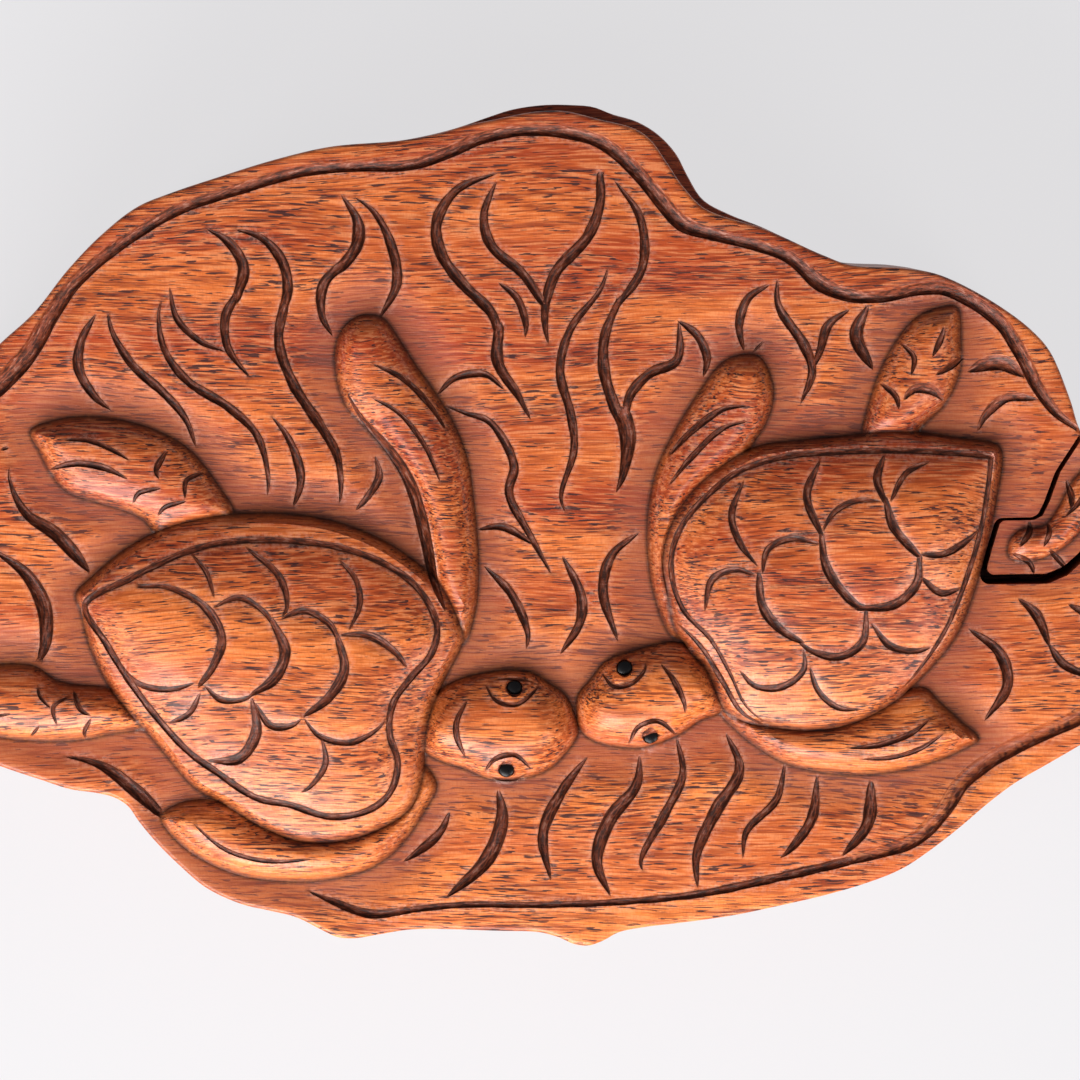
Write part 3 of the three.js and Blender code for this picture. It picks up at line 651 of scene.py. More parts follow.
@dataclass
class CarvedForm:
    """A form's outline and spine laid on the plan."""

    form: Form
    step: float = 0.5
    rim: np.ndarray = field(init=False)
    spine: np.ndarray = field(init=False)

    def __post_init__(self) -> None:
        """Lays the drawn knots on the plan."""
        self.rim = outline_of(self.form.outline, self.step)
        self.spine = evenly(on_plan(self.form.spine), self.step, False)

    def lines(self) -> list[np.ndarray]:
        """Lines that its mesh follows: beside its foot, the foot, up its wall and over the top."""
        normals = left_of(self.rim, True)
        wall = self.form.wall
        return [closed_up(self.rim + normals * offset) for offset in (-0.5, 0, wall / 2, wall, wall + 0.5)]

    def height(self, points: np.ndarray, gap: np.ndarray) -> tuple[np.ndarray, np.ndarray]:
        """Its surface over the field.

        Args:
            points: Points inside its outline.
            gap: Their distances from the outline.

        Returns:
            The heights of its dome, and how far up the wall each point is, from 0 to 1.
        """
        form = self.form
        to_spine, _, _ = nearest_on(points, self.spine)
        share = np.clip(gap - form.wall, 0, None) / np.maximum(gap - form.wall + to_spine, 1e-6)
        dome = 1 - (1 - share) ** form.fullness
        return form.edge + (form.rise - form.edge) * dome, ramp(gap / form.wall)


@dataclass
class CarvedCut:
    """A cut's middle line laid on the plan, with its half width at each point."""

    cut: Cut
    seed: int
    step: float = 0.45
    line: np.ndarray = field(init=False)
    half: np.ndarray = field(init=False)
    inner: float = field(init=False)

    def __post_init__(self) -> None:
        """Lays the drawn knots on the plan and works out the widths and the side it bends round."""
        cut = self.cut
        fuller = 1.2 if cut.layer is Layer.GROUND and len(cut.knots[0]) < 3 else 1.1
        widths = np.array([knot[2] if len(knot) > 2 else fuller * cut.width for knot in cut.knots])
        knots = np.column_stack([on_plan(cut.knots), widths * GRID_STEP / 2])
        rows = evenly(smooth_through(knots, cut.closed, 8), self.step, cut.closed)
        if cut.closed:
            rows = closed_up(rows)
        self.line = rows[:, :2]
        along = np.linspace(0, 1, len(rows))
        self.half = rows[:, 2] * self.taper(along) * self.unevenness(along)
        middle = len(rows) // 2
        centre = self.line.mean(0) if cut.closed else (self.line[0] + self.line[-1]) / 2
        self.inner = float(np.sign(left_of(self.line, False)[middle] @ (centre - self.line[middle])))

    def taper(self, along: np.ndarray) -> np.ndarray:
        """Share of the width at each place along the cut."""
        if self.cut.closed or len(self.cut.knots[0]) > 2:
            return np.ones(len(along))
        start, end = self.cut.ends
        bent = along ** (math.log(0.5) / math.log(self.cut.peak))
        floor = np.where(bent < 0.5, start, end)
        return floor + (1 - floor) * np.sin(math.pi * bent) ** 0.65

    def unevenness(self, along: np.ndarray) -> np.ndarray:
        """The hand's small changes of width, as a factor."""
        length = np.linalg.norm(np.diff(self.line, axis=0), axis=1).sum()
        turn = along * length * 2 * math.pi
        slow = 0.06 * np.sin(turn / 5.3 + self.seed)
        fast = 0.03 * np.sin(turn / 2.1 + 2.4 * self.seed + 2 * np.sin(turn / 7.3))
        return 1 + slow + fast if self.cut.width < 12 else 1 + 0.4 * slow

    def lines(self) -> list[np.ndarray]:
        """Lines that its mesh follows: its floor, its walls, its edges and just beside them."""
        normals = left_of(self.line, False)
        half = self.half[:, None]
        middle = self.line + normals * half * self.cut.lean
        found = [middle]
        wide = self.half > 0.12
        for side in (-1, 1):
            edge = self.line + normals * half * side
            found += runs(middle + (edge - middle) * 0.5, wide)
            found += runs(middle + (edge - middle) * 0.88, wide)
            found += runs(edge, wide)
            found += runs(edge + normals * side * 0.22, wide)
        return found

    def carve(self, points: np.ndarray) -> dict[str, np.ndarray]:
        """What the cut does to the surface at each point.

        Args:
            points: Points in plan.

        Returns:
            By name, the depth, from 0 to 1 how far each point is in the cut, on its steep walls,
            which take stain and painted shade, and on its edges, which take wear and a painted highlight,
            and millimetres from its edge, across it and along it.
        """
        found = {name: np.zeros(len(points)) for name in ("depth", "cut", "wall", "rim", "lane", "course")}
        found["away"] = np.full(len(points), np.inf)
        reach = self.half.max() + 4
        near = np.flatnonzero(
            ((points > self.line.min(0) - reach) & (points < self.line.max(0) + reach)).all(1)
        )
        if len(near) == 0:
            return found
        distance, place, side = nearest_on(points[near], self.line)
        half = np.interp(place, np.arange(len(self.half)), self.half)
        lean = self.cut.lean
        signed = distance * side / np.maximum(half, 1e-6)
        to_floor = np.where(signed > lean, (signed - lean) / (1 - lean), (lean - signed) / (1 + lean))
        profile = np.clip(1 - np.abs(to_floor) ** 2.6, 0, 1)
        full = 2 * half * self.cut.deep
        bends_here = side == self.inner
        soft = self.cut.soft * np.where(bends_here, 1, 0.3)
        beside = soft * full * np.exp(-np.maximum(distance - half, 0) / np.where(bends_here, 1.5, 0.8))
        within = distance < half
        found["depth"][near] = np.where(within, (1 - soft) * full * profile, 0) + beside
        strong = ramp(half / 0.22)
        gentle = (abs(lean) > 0.3) & (signed * np.sign(lean) < lean * np.sign(lean))
        kept = strong * np.where(gentle, self.cut.wash, 1)
        fades = ramp((1.06 - np.abs(to_floor)) / 0.2)
        steep = ramp((np.abs(to_floor) - 0.45) / 0.3)
        found["cut"][near] = fades * kept
        # The walls and floor: stain and painted shade, darkest on the steep walls.
        found["wall"][near] = np.where(gentle, 0.1, 0.5 + 0.5 * steep) * fades * strong
        # A painted highlight along the cut's edges, with some wear.
        found["rim"][near] = np.clip(1 - np.abs(distance - half - 0.08) / 0.2, 0, 1) * strong
        found["rim"][near] *= np.where(gentle, 0.3, 1)
        found["away"][near] = distance - half
        found["lane"][near] = distance * side
        found["course"][near] = place * self.step + self.seed
        return found


@dataclass
class Relief:
    """The whole carved top of the box: its field, raised forms and cuts.

    Attributes:
        margin: Width of the strip along the edge that falls away, in millimetres.
        fall: How far it falls.
        sink: How far the ground is lowered beside a raised form.
        filler: Distance between the mesh points where nothing is carved.
        socket: Radius of the hollow that a pupil sits in.
        socket_depth: How deep that hollow is.
    """

    margin: float = 3.6
    fall: float = 0.08
    sink: float = 0.75
    filler: float = 0.86
    socket: float = 1.2
    socket_depth: float = 0.75
    rim: np.ndarray = field(init=False)
    forms: list[CarvedForm] = field(init=False)
    cuts: list[CarvedCut] = field(init=False)

    def __post_init__(self) -> None:
        """Lays everything that is drawn on the plan."""
        self.rim = kept_within("lid", outline_of(LID_OUTLINE, 0.5))
        self.forms = [CarvedForm(form) for form in FORMS]
        self.cuts = [CarvedCut(cut, seed) for seed, cut in enumerate(ALL_CUTS)]

    def covered(self, points: np.ndarray, forms: list[CarvedForm]) -> np.ndarray:
        """Which points lie under any of these forms."""
        found = np.zeros(len(points), bool)
        for form in forms:
            found |= inside(points, form.rim)
        return found

    def feature_lines(self) -> list[np.ndarray]:
        """Every line that the mesh follows, cut off where a higher form covers it."""
        inward = left_of(self.rim, True)
        found = [closed_up(self.rim + inward * EDGE_ROUND * share) for share in (0, 0.15, 0.5, 1)]
        for number, form in enumerate(self.forms):
            above = self.forms[number + 1:]
            for line in form.lines():
                found += runs(line, ~self.covered(line, above) & inside(line, self.rim))
        for cut in self.cuts:
            for line in cut.lines():
                keep = inside(line, self.rim)
                if cut.cut.layer is Layer.GROUND:
                    keep &= ~self.covered(line, self.forms)
                found += runs(line, keep)
        turn = np.linspace(0, 2 * math.pi, 25)
        circle = np.stack([np.cos(turn), np.sin(turn)], 1)
        for middle in on_plan(PUPILS):
            found += [middle + circle * self.socket * share for share in (0.85, 1, 1.25, 2)]
        return found

    def surface(self, points: np.ndarray) -> dict[str, np.ndarray]:
        """The carved surface.

        Args:
            points: Points in plan.

        Returns:
            Under height, the height over the field in millimetres, and by name what the finish
            reads of the carving.
        """
        gap, _, _ = nearest_on(points, closed_up(self.rim))
        height = self.bare_field(points, gap)
        foot, side, rim, lane, course = (np.zeros(len(points)) for _ in range(5))
        closest = np.full(len(points), np.inf)
        on_form = np.zeros(len(points), bool)
        reaches = []
        for form in self.forms:
            near, place, _ = nearest_on(points, closed_up(form.rim))
            within = inside(points, form.rim)
            reaches.append((form, near, within))
            on_form |= within
            lane = np.where(near < closest, np.where(within, near, -near), lane)
            course = np.where(near < closest, place * form.step, course)
            closest = np.minimum(near, closest)
        beside = np.where(on_form, 0, np.min([near for _, near, _ in reaches], axis=0))
        ground = 1 - ramp((beside - 1.5) / 6)
        height -= self.sink * ground * ramp(gap / 5)
        for form, near, within in reaches:
            lowered = 0.75 * np.where(within, 1, np.exp(-near / 0.9))
            height -= np.clip(height - 0.15, 0, None) * lowered
            # Painted shade round each form: a dark line at its wall's foot, partly stain that gathers there,
            # and a wider soft darkening on the ground beside it.
            outside = 0.65 * (1 - ramp((near - 0.1) / 0.5)) + 0.28 * np.exp(-near / 1.1)
            foot = np.where(within, 0, np.maximum(foot, outside))
            dome, climb = form.height(points[within], near[within])
            height[within] += (dome - height[within]) * climb
            foot[within] = 1 - ramp(near[within] / 0.45)
            side = np.where(within, 0, np.maximum(side, 0.5 * (1 - ramp(near / 0.15))))
            side[within] = 0.5 * (1 - climb**2)
            # A painted highlight along the top of each form's wall.
            rim[within] = 0.25 * np.clip(1 - np.abs(near[within] - form.form.wall) / 0.4, 0, 1)
        ground = np.where(on_form, 0, ground)
        depth, cut, wall = (np.zeros(len(points)) for _ in range(3))
        closest = np.where(closest < 1.4, 0.3, 0.6)
        for stroke_cut in self.cuts:
            carved = stroke_cut.carve(points)
            free = 1.0
            if stroke_cut.cut.layer is Layer.GROUND:
                free = np.where(on_form, 0, ramp(beside / 0.5))
            depth = np.maximum(depth, carved["depth"] * free)
            deeper = carved["cut"] * free > cut
            wall = np.where(deeper, carved["wall"], np.minimum(wall, 1 - 0.8 * carved["cut"] * free))
            cut = np.maximum(cut, carved["cut"] * free)
            rim = np.maximum(rim, carved["rim"] * free)
            beside_it = (carved["away"] < closest) & (free > 0)
            lane = np.where(beside_it, carved["lane"], lane)
            course = np.where(beside_it, carved["course"], course)
            closest = np.where(beside_it, carved["away"], closest)
        height -= depth
        for middle in on_plan(PUPILS):
            away = np.linalg.norm(points - middle, axis=1)
            height += 0.45 * np.sqrt(np.clip(1 - (away / (2 * self.socket)) ** 2, 0, 1))
            height -= np.where(away < self.socket, self.socket_depth * ramp((self.socket - away) / 0.18), 0)
            cut = np.maximum(cut, np.where(away < self.socket, 1, 0))
        cut = np.maximum(cut, side)
        rim = rim * (1 - cut)
        return {"height": height, "cut": cut, "wall": wall, "foot": foot, "ground": ground, "rim": rim,
                "lane": lane, "course": course}

    def bare_field(self, points: np.ndarray, gap: np.ndarray) -> np.ndarray:
        """The uncarved top: a rounded edge, a margin that falls away and the plane's slight waves."""
        x, y = points.T
        waves = 0.05 * np.sin(x / 4.1 + 0.7 * np.sin(y / 6.3)) + 0.05 * np.sin(y / 3.4 + x / 9.7)
        height = waves * ramp(gap / 3) - self.fall * (1 - ramp(gap / self.margin))
        inner = np.clip(gap / EDGE_ROUND, 0, 1)
        return height - EDGE_ROUND * (1 - np.sqrt(1 - (1 - inner) ** 2)) * 0.9

    def mesh_plan(self) -> tuple[np.ndarray, np.ndarray]:
        """Triangulates the plan of the top along everything that is carved.

        Returns:
            The points in millimetres, and three point numbers for each triangle.
        """
        lines = self.feature_lines()
        points = np.vstack(lines)
        ends = np.cumsum([len(line) for line in lines])
        edges = [(i, i + 1) for start, end in zip(ends - [len(line) for line in lines], ends)
                 for i in range(start, end - 1)]
        tree = KDTree(len(points))
        for number, (x, y) in enumerate(points):
            tree.insert((x, y, 0), number)
        tree.balance()
        low, high = self.rim.min(0), self.rim.max(0)
        rows = np.arange(low[1], high[1], self.filler * math.sqrt(3) / 2)
        columns = np.arange(low[0], high[0], self.filler)
        free = np.array([(x + self.filler / 2 * (row % 2), y) for row, y in enumerate(rows) for x in columns])
        free = free[inside(free, self.rim)]
        roomy = np.array([tree.find((x, y, 0))[2] > 0.5 * self.filler for x, y in free])
        every = [Vector(point) for point in np.vstack([points, free[roomy]])]
        found = delaunay_2d_cdt(every, edges, [], 0, 0.02, False)
        plan = np.array([tuple(point) for point in found[0]])
        triangles = np.array(found[2])
        middles = plan[triangles].mean(1)
        triangles = triangles[inside(middles, self.rim)]
        used, triangles = np.unique(triangles, return_inverse=True)
        return plan[used], triangles.reshape(-1, 3)


def make_object(name: str, vertices: np.ndarray, faces: list) -> bpy.types.Object:
    """Makes a mesh object.

    Args:
        name: Its name.
        vertices: Its points in millimetres.
        faces: Point numbers for each face.

    Returns:
        The object, linked to the scene.
    """
    mesh = bpy.data.meshes.new(name)
    mesh.from_pydata((vertices * MM).tolist(), [], faces)
    mesh.validate()
    piece = bpy.data.objects.new(name, mesh)
    bpy.context.scene.collection.objects.link(piece)
    return piece


def boundary_loop(triangles: np.ndarray) -> np.ndarray:
    """The point numbers round the outside of a flat mesh, in the order that its triangles turn."""
    sides = np.vstack([triangles[:, [0, 1]], triangles[:, [1, 2]], triangles[:, [2, 0]]])
    size = triangles.max() + 1
    codes = sides[:, 0] * size + sides[:, 1]
    back = sides[:, 1] * size + sides[:, 0]
    ahead = dict(sides[~np.isin(codes, back)].tolist())
    loop = [next(iter(ahead))]
    while ahead[loop[-1]] != loop[0]:
        loop.append(ahead[loop[-1]])
    return np.array(loop)


def ring_stack(name: str, rings: list[tuple[np.ndarray, float]]) -> bpy.types.Object:
    """Joins flat rings of equally many points, one over the other, into a closed solid.

    Args:
        name: The object's name.
        rings: Each ring's points, anticlockwise, and its level, from the bottom up.

    Returns:
        The solid.
    """
    count = len(rings[0][0])
    vertices = np.vstack([np.column_stack([ring, np.full(count, level)]) for ring, level in rings])
    turn = np.arange(count)
    after = (turn + 1) % count
    faces = [turn[::-1].tolist(), (turn + (len(rings) - 1) * count).tolist()]
    for number in range(len(rings) - 1):
        low, high = number * count, (number + 1) * count
        faces += np.stack([turn + low, after + low, after + high, turn + high], 1).tolist()
    return make_object(name, vertices, faces)


def evaluated_mesh(piece: bpy.types.Object) -> bpy.types.Mesh:
    """The piece's mesh with its modifiers applied, as a mesh of its own."""
    ready = piece.evaluated_get(bpy.context.evaluated_depsgraph_get())
    return bpy.data.meshes.new_from_object(ready)


def apply_modifiers(piece: bpy.types.Object) -> None:
    """Turns what a piece's modifiers make into its own plain mesh."""
    before = piece.data
    plain = evaluated_mesh(piece)
    piece.modifiers.clear()
    piece.data = plain
    plain.name = before.name
    bpy.data.meshes.remove(before)


def saw(target: bpy.types.Object, tool: bpy.types.Object, operation: str) -> None:
    """Cuts, joins or keeps what two solids share, and removes the tool.

    Args:
        target: The piece that is changed.
        tool: The other solid.
        operation: DIFFERENCE, UNION or INTERSECT.
    """
    modifier = target.modifiers.new("saw", "BOOLEAN")
    modifier.operation = operation
    modifier.solver = "MANIFOLD"
    modifier.object = tool
    apply_modifiers(target)
    bpy.data.objects.remove(tool)


def smooth_shade(piece: bpy.types.Object, sharp_degrees: float) -> None:
    """Shades a piece smooth, but for edges sharper than an angle."""
    piece.data.shade_smooth()
    piece.data.set_sharp_from_angle(angle=math.radians(sharp_degrees))


class Nodes:
    """Builds a node tree: adds nodes with their inputs given as values or as other nodes' outputs."""

    def __init__(self, tree: bpy.types.NodeTree) -> None:
        """Starts on a tree, which is emptied."""
        self.tree = tree
        tree.nodes.clear()

    def add(self, kind: str, inputs: dict | None = None, **settings: object) -> bpy.types.Node:
        """Adds a node.

        Args:
            kind: Its type.
            inputs: Values or sockets by the input's name or number.
            settings: Its own properties.

        Returns:
            The node.
        """
        node = self.tree.nodes.new(kind)
        node.location = (190 * len(self.tree.nodes), 0)
        for name, value in settings.items():
            setattr(node, name, value)
        for name, value in (inputs or {}).items():
            if isinstance(value, Socket):
                self.tree.links.new(value, node.inputs[name])
            else:
                node.inputs[name].default_value = value
        return node

    def maths(self, operation: str, *values: float | Socket) -> Socket:
        """A sum on numbers."""
        node = self.add("ShaderNodeMath", dict(enumerate(values)), operation=operation)
        return node.outputs[0]

    def vectors(self, operation: str, *values: tuple | Socket) -> Socket:
        """A sum on vectors."""
        node = self.add("ShaderNodeVectorMath", dict(enumerate(values)), operation=operation)
        return node.outputs[0]

    def noise(self, place: Socket, stretch: tuple, detail: float = 2.0, rough: float = 0.5) -> Socket:
        """Noise from 0 to 1, with its grain stretched along the axes."""
        scaled = self.vectors("MULTIPLY", place, stretch)
        node = self.add(
            "ShaderNodeTexNoise",
            {"Vector": scaled, "Scale": 1.0, "Detail": detail, "Roughness": rough},
        )
        return node.outputs[0]

    def between(self, value: Socket, low: float, high: float) -> Socket:
        """A smooth step from 0 at low to 1 at high."""
        node = self.add(
            "ShaderNodeMapRange",
            {"Value": value, "From Min": low, "From Max": high},
            interpolation_type="SMOOTHSTEP",
        )
        return node.outputs[0]

    def mix(self, share: float | Socket, first: tuple | Socket, second: tuple | Socket,
            blend: str = "MIX") -> Socket:
        """A mix of two colours."""
        node = self.add(
            "ShaderNodeMix", {0: share, 6: first, 7: second}, data_type="RGBA", blend_type=blend
        )
        return node.outputs[2]


def new_group(name: str, kind: str, inputs: dict[str, str], outputs: dict[str, str]) -> Nodes:
    """Starts a node group.

    Args:
        name: The group's name.
        kind: ShaderNodeTree or GeometryNodeTree.
        inputs: Socket types by name.
        outputs: Socket types by name.

    Returns:
        Its builder.
    """
    tree = bpy.data.node_groups.new(name, kind)
    for sockets, way in ((inputs, "INPUT"), (outputs, "OUTPUT")):
        for socket, socket_type in sockets.items():
            tree.interface.new_socket(socket, in_out=way, socket_type=socket_type)
    return Nodes(tree)


def linear(red: int, green: int, blue: int) -> tuple[float, float, float, float]:
    """A colour as it looks on a screen, from 0 to 255 a channel, as the shader's linear one."""
    def channel(value: float) -> float:
        """One channel."""
        return value / 12.92 if value <= 0.04045 else ((value + 0.055) / 1.055) ** 2.4
    return (*(channel(value / 255) for value in (red, green, blue)), 1.0)


def grain_group() -> bpy.types.NodeTree:
    """The figure of rain-tree wood, whose grain runs along X.

    Returns:
        A shader group that gives the wood's colour, painted lighter towards the front, its open pores and its
        fine ridges.
    """
    name = "Rain tree grain"
    if name in bpy.data.node_groups:
        return bpy.data.node_groups[name]
    nodes = new_group(
        name,
        "ShaderNodeTree",
        {"Place": "NodeSocketVector", "Light": "NodeSocketColor", "Deep": "NodeSocketColor",
         "Pale": "NodeSocketColor", "Streak": "NodeSocketColor", "Pore": "NodeSocketColor"},
        {"Color": "NodeSocketColor", "Pores": "NodeSocketFloat", "Ridges": "NodeSocketFloat"},
    )
    given = nodes.add("NodeGroupInput").outputs
    place = nodes.vectors("SCALE", given["Place"])
    place.node.inputs["Scale"].default_value = 1 / MM
    bend = nodes.maths("SUBTRACT", nodes.noise(place, (0.014, 0.05, 0.05)), 0.5)
    bend = nodes.maths("MULTIPLY", bend, 9.0)
    sway = nodes.add("ShaderNodeCombineXYZ", {"Y": bend, "Z": bend}).outputs[0]
    place = nodes.vectors("ADD", place, sway)
    bands = nodes.between(nodes.noise(place, (0.012, 0.14, 0.3), 3.0), 0.34, 0.66)
    across = nodes.add("ShaderNodeSeparateXYZ", {0: place}).outputs["Y"]
    # Painted light: the bands are painted lighter towards the front of the box, where the window lamp's light
    # falls.
    front = nodes.between(nodes.maths("MULTIPLY", across, -1.0), -15.0, 50.0)
    bands = nodes.maths("ADD", nodes.maths("MULTIPLY", bands, 0.65), nodes.maths("MULTIPLY", front, 0.45))
    bands = nodes.add("ShaderNodeClamp", {"Value": bands}).outputs[0]
    patches = nodes.between(nodes.noise(place, (0.035, 0.2, 0.2), 2.0), 0.36, 0.62)
    streaks = nodes.between(nodes.noise(place, (0.05, 1.15, 0.7), 3.0, 0.6), 0.46, 0.66)
    lines = nodes.noise(place, (0.17, 3.3, 1.4), 2.0, 0.6)
    dark_lines = nodes.between(lines, 0.5, 0.63)
    pale_lines = nodes.between(lines, 0.5, 0.37)
    ripple = nodes.between(nodes.noise(place, (3.4, 1.1, 1.1), 2.0, 0.6), 0.4, 0.65)
    dashes = nodes.noise(place, (0.33, 4.3, 1.8), 1.0)
    limit = nodes.maths("SUBTRACT", 0.655, nodes.maths("MULTIPLY", patches, 0.085))
    pores = nodes.between(nodes.maths("SUBTRACT", dashes, limit), 0.0, 0.03)
    colour = nodes.mix(bands, given["Deep"], given["Light"])
    strength = nodes.maths("ADD", nodes.maths("MULTIPLY", patches, 0.35), 0.25)
    colour = nodes.mix(nodes.maths("MULTIPLY", streaks, strength), colour, given["Streak"])
    strength = nodes.maths("ADD", nodes.maths("MULTIPLY", patches, 0.4), 0.4)
    colour = nodes.mix(nodes.maths("MULTIPLY", dark_lines, strength), colour, given["Streak"])
    colour = nodes.mix(nodes.maths("MULTIPLY", pale_lines, 0.42), colour, given["Pale"])
    colour = nodes.mix(nodes.maths("MULTIPLY", ripple, 0.22), colour, given["Deep"])
    colour = nodes.mix(nodes.maths("MULTIPLY", pores, 0.92), colour, given["Pore"])
    ridges = nodes.maths("ADD", nodes.maths("MULTIPLY", dark_lines, 0.6), pores)
    ridges = nodes.maths("ADD", ridges, nodes.maths("MULTIPLY", ripple, 0.3))
    ridges = nodes.maths("MULTIPLY", ridges, -1.0)
    nodes.add("NodeGroupOutput", {"Color": colour, "Pores": pores, "Ridges": ridges})
    return nodes.tree


def stain_and_painted_light_group() -> bpy.types.NodeTree:
    """The stain and the tool marks that carving leaves, with painted shade and painted highlights, from what
    the carved mesh says of itself.

    Returns:
        A shader group that stains a wood's colour, paints shade and highlights into it, and gives the marks'
        height and the dullness.
    """
    name = "Carver's stain"
    if name in bpy.data.node_groups:
        return bpy.data.node_groups[name]
    nodes = new_group(
        name,
        "ShaderNodeTree",
        {"Place": "NodeSocketVector", "Wood": "NodeSocketColor", "Stain": "NodeSocketColor",
         "Shade": "NodeSocketColor", "Ground": "NodeSocketColor", "Edge": "NodeSocketColor",
         "Cut": "NodeSocketFloat", "Wall": "NodeSocketFloat", "Foot": "NodeSocketFloat",
         "Lowered": "NodeSocketFloat", "Rim": "NodeSocketFloat", "Lane": "NodeSocketFloat",
         "Course": "NodeSocketFloat"},
        {"Color": "NodeSocketColor", "Marks": "NodeSocketFloat", "Dull": "NodeSocketFloat"},
    )
    given = nodes.add("NodeGroupInput").outputs
    place = nodes.vectors("SCALE", given["Place"])
    place.node.inputs["Scale"].default_value = 1 / MM
    chatter = nodes.noise(place, (1.7, 1.7, 1.7), 3.0, 0.65)
    tool_place = nodes.add("ShaderNodeCombineXYZ", {"X": given["Course"], "Y": given["Lane"]}).outputs[0]
    tool = nodes.noise(tool_place, (0.5, 2.7, 1.0), 2.0, 0.6)
    scratched = nodes.between(tool, 0.46, 0.58)
    colour = nodes.mix(nodes.maths("MULTIPLY", given["Lowered"], 0.62), given["Wood"], given["Ground"])
    # Wear and a painted highlight along the cuts' edges and the tops of the forms' walls.
    rim_wear_and_highlight = nodes.maths("MULTIPLY", given["Rim"], nodes.between(chatter, 0.38, 0.62))
    colour = nodes.mix(nodes.maths("MULTIPLY", rim_wear_and_highlight, 0.75), colour, given["Edge"])
    floor = nodes.maths("SUBTRACT", 1.25, nodes.maths("MULTIPLY", chatter, 0.5))
    floor = nodes.maths("MULTIPLY", given["Cut"], floor)
    floor = nodes.add("ShaderNodeClamp", {"Value": floor}).outputs[0]
    floor_wood = nodes.mix(nodes.maths("MULTIPLY", scratched, 0.8), given["Stain"], given["Shade"])
    # Painted glints: light streaks along the cut floors, in the edge colour.
    floor_glint = nodes.between(tool, 0.42, 0.34)
    floor_wood = nodes.mix(nodes.maths("MULTIPLY", floor_glint, 0.3), floor_wood, given["Edge"])
    colour = nodes.mix(floor, colour, floor_wood)
    broken = nodes.maths("MULTIPLY", nodes.maths("ADD", chatter, tool), 0.5)
    uneven = nodes.maths("SUBTRACT", 1.35, broken)
    # Stain and painted shade, darkest on the cuts' steep walls and at the forms' feet.
    dark = nodes.maths("MULTIPLY", nodes.maths("MAXIMUM", given["Wall"], given["Foot"]), uneven)
    dark = nodes.add("ShaderNodeClamp", {"Value": dark}).outputs[0]
    colour = nodes.mix(nodes.maths("MULTIPLY", dark, 0.92), colour, given["Shade"])
    worked = nodes.maths("MAXIMUM", given["Cut"], dark)
    marks = nodes.maths("MULTIPLY", nodes.maths("ADD", chatter, tool), worked)
    dark = nodes.maths("MAXIMUM", dark, floor)
    nodes.add("NodeGroupOutput", {"Color": colour, "Marks": marks, "Dull": dark})
    return nodes.tree


@dataclass(frozen=True)
class WoodFinish:
    """Stained and lacquered rain-tree wood.

    Attributes:
        name: The material's name.
        light: The light bands, as seen on a screen.
        deep: The dark bands.
        pale: The pale growth lines.
        streak: The dark growth lines.
        pore: The open pores.
        stain: The floors of the carved cuts.
        shade: The dark colour in their walls and round the raised forms: partly stain, partly painted shade.
        ground: The ground beside the raised forms.
        edge: The cuts' edges, with wear and a painted highlight, and the painted glints in their floors.
        carved: Whether the mesh says where it is carved.
        rough: Roughness of the wood under its lacquer.
        coat: Weight of the lacquer.
    """

    name: str
    light: tuple[int, int, int] = (232, 126, 56)
    deep: tuple[int, int, int] = (172, 64, 24)
    pale: tuple[int, int, int] = (244, 162, 108)
    streak: tuple[int, int, int] = (104, 30, 10)
    pore: tuple[int, int, int] = (46, 14, 18)
    stain: tuple[int, int, int] = (130, 58, 32)
    shade: tuple[int, int, int] = (24, 8, 4)
    ground: tuple[int, int, int] = (136, 70, 54)
    edge: tuple[int, int, int] = (236, 178, 154)
    carved: bool = False
    rough: float = 0.42
    coat: float = 0.28

    def material(self) -> bpy.types.Material:
        """Builds the material.

        Returns:
            The material.
        """
        material = bpy.data.materials.new(self.name)
        material.use_nodes = True
        nodes = Nodes(material.node_tree)
        place = nodes.add("ShaderNodeTexCoord").outputs["Object"]
        grain = nodes.add("ShaderNodeGroup", {
            "Place": place, "Light": linear(*self.light), "Deep": linear(*self.deep),
            "Pale": linear(*self.pale), "Streak": linear(*self.streak), "Pore": linear(*self.pore)},
            node_tree=grain_group())
        colour, height = grain.outputs["Color"], grain.outputs["Ridges"]
        rough = nodes.maths("ADD", nodes.maths("MULTIPLY", grain.outputs["Pores"], 0.2), self.rough)
        coat: float | Socket = self.coat
        if self.carved:
            says = {name: nodes.add("ShaderNodeAttribute", attribute_name=name).outputs["Fac"]
                    for name in CARVED_MARKS}
            # The stain group also paints shade and highlights from the carved marks.
            stain = nodes.add("ShaderNodeGroup", {
                "Place": place, "Wood": colour, "Stain": linear(*self.stain),
                "Shade": linear(*self.shade), "Ground": linear(*self.ground),
                "Edge": linear(*self.edge), "Cut": says["cut"], "Wall": says["wall"],
                "Foot": says["foot"], "Lowered": says["ground"], "Rim": says["rim"],
                "Lane": says["lane"], "Course": says["course"]}, node_tree=stain_and_painted_light_group())
            colour = stain.outputs["Color"]
            height = nodes.maths("ADD", height, nodes.maths("MULTIPLY", stain.outputs["Marks"], 1.3))
            rough = nodes.maths("ADD", rough, nodes.maths("MULTIPLY", stain.outputs["Dull"], 0.04))
            coat = nodes.maths("MULTIPLY", nodes.maths("SUBTRACT", 1.0, stain.outputs["Dull"]), self.coat)
        bump = nodes.add("ShaderNodeBump", {"Height": height, "Strength": 0.45, "Distance": 0.06 * MM})
        shader = nodes.add("ShaderNodeBsdfPrincipled", {
            "Base Color": colour, "Roughness": rough, "Normal": bump.outputs[0],
            "Coat Weight": coat, "Coat Roughness": 0.28, "Specular IOR Level": 0.3})
        nodes.add("ShaderNodeOutputMaterial", {"Surface": shader.outputs[0]})
        return material


def level(node: str, corner: int) -> float:
    """The lowest, 0, or highest, 1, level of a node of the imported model, in millimetres."""
    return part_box(node)[corner].z / MM


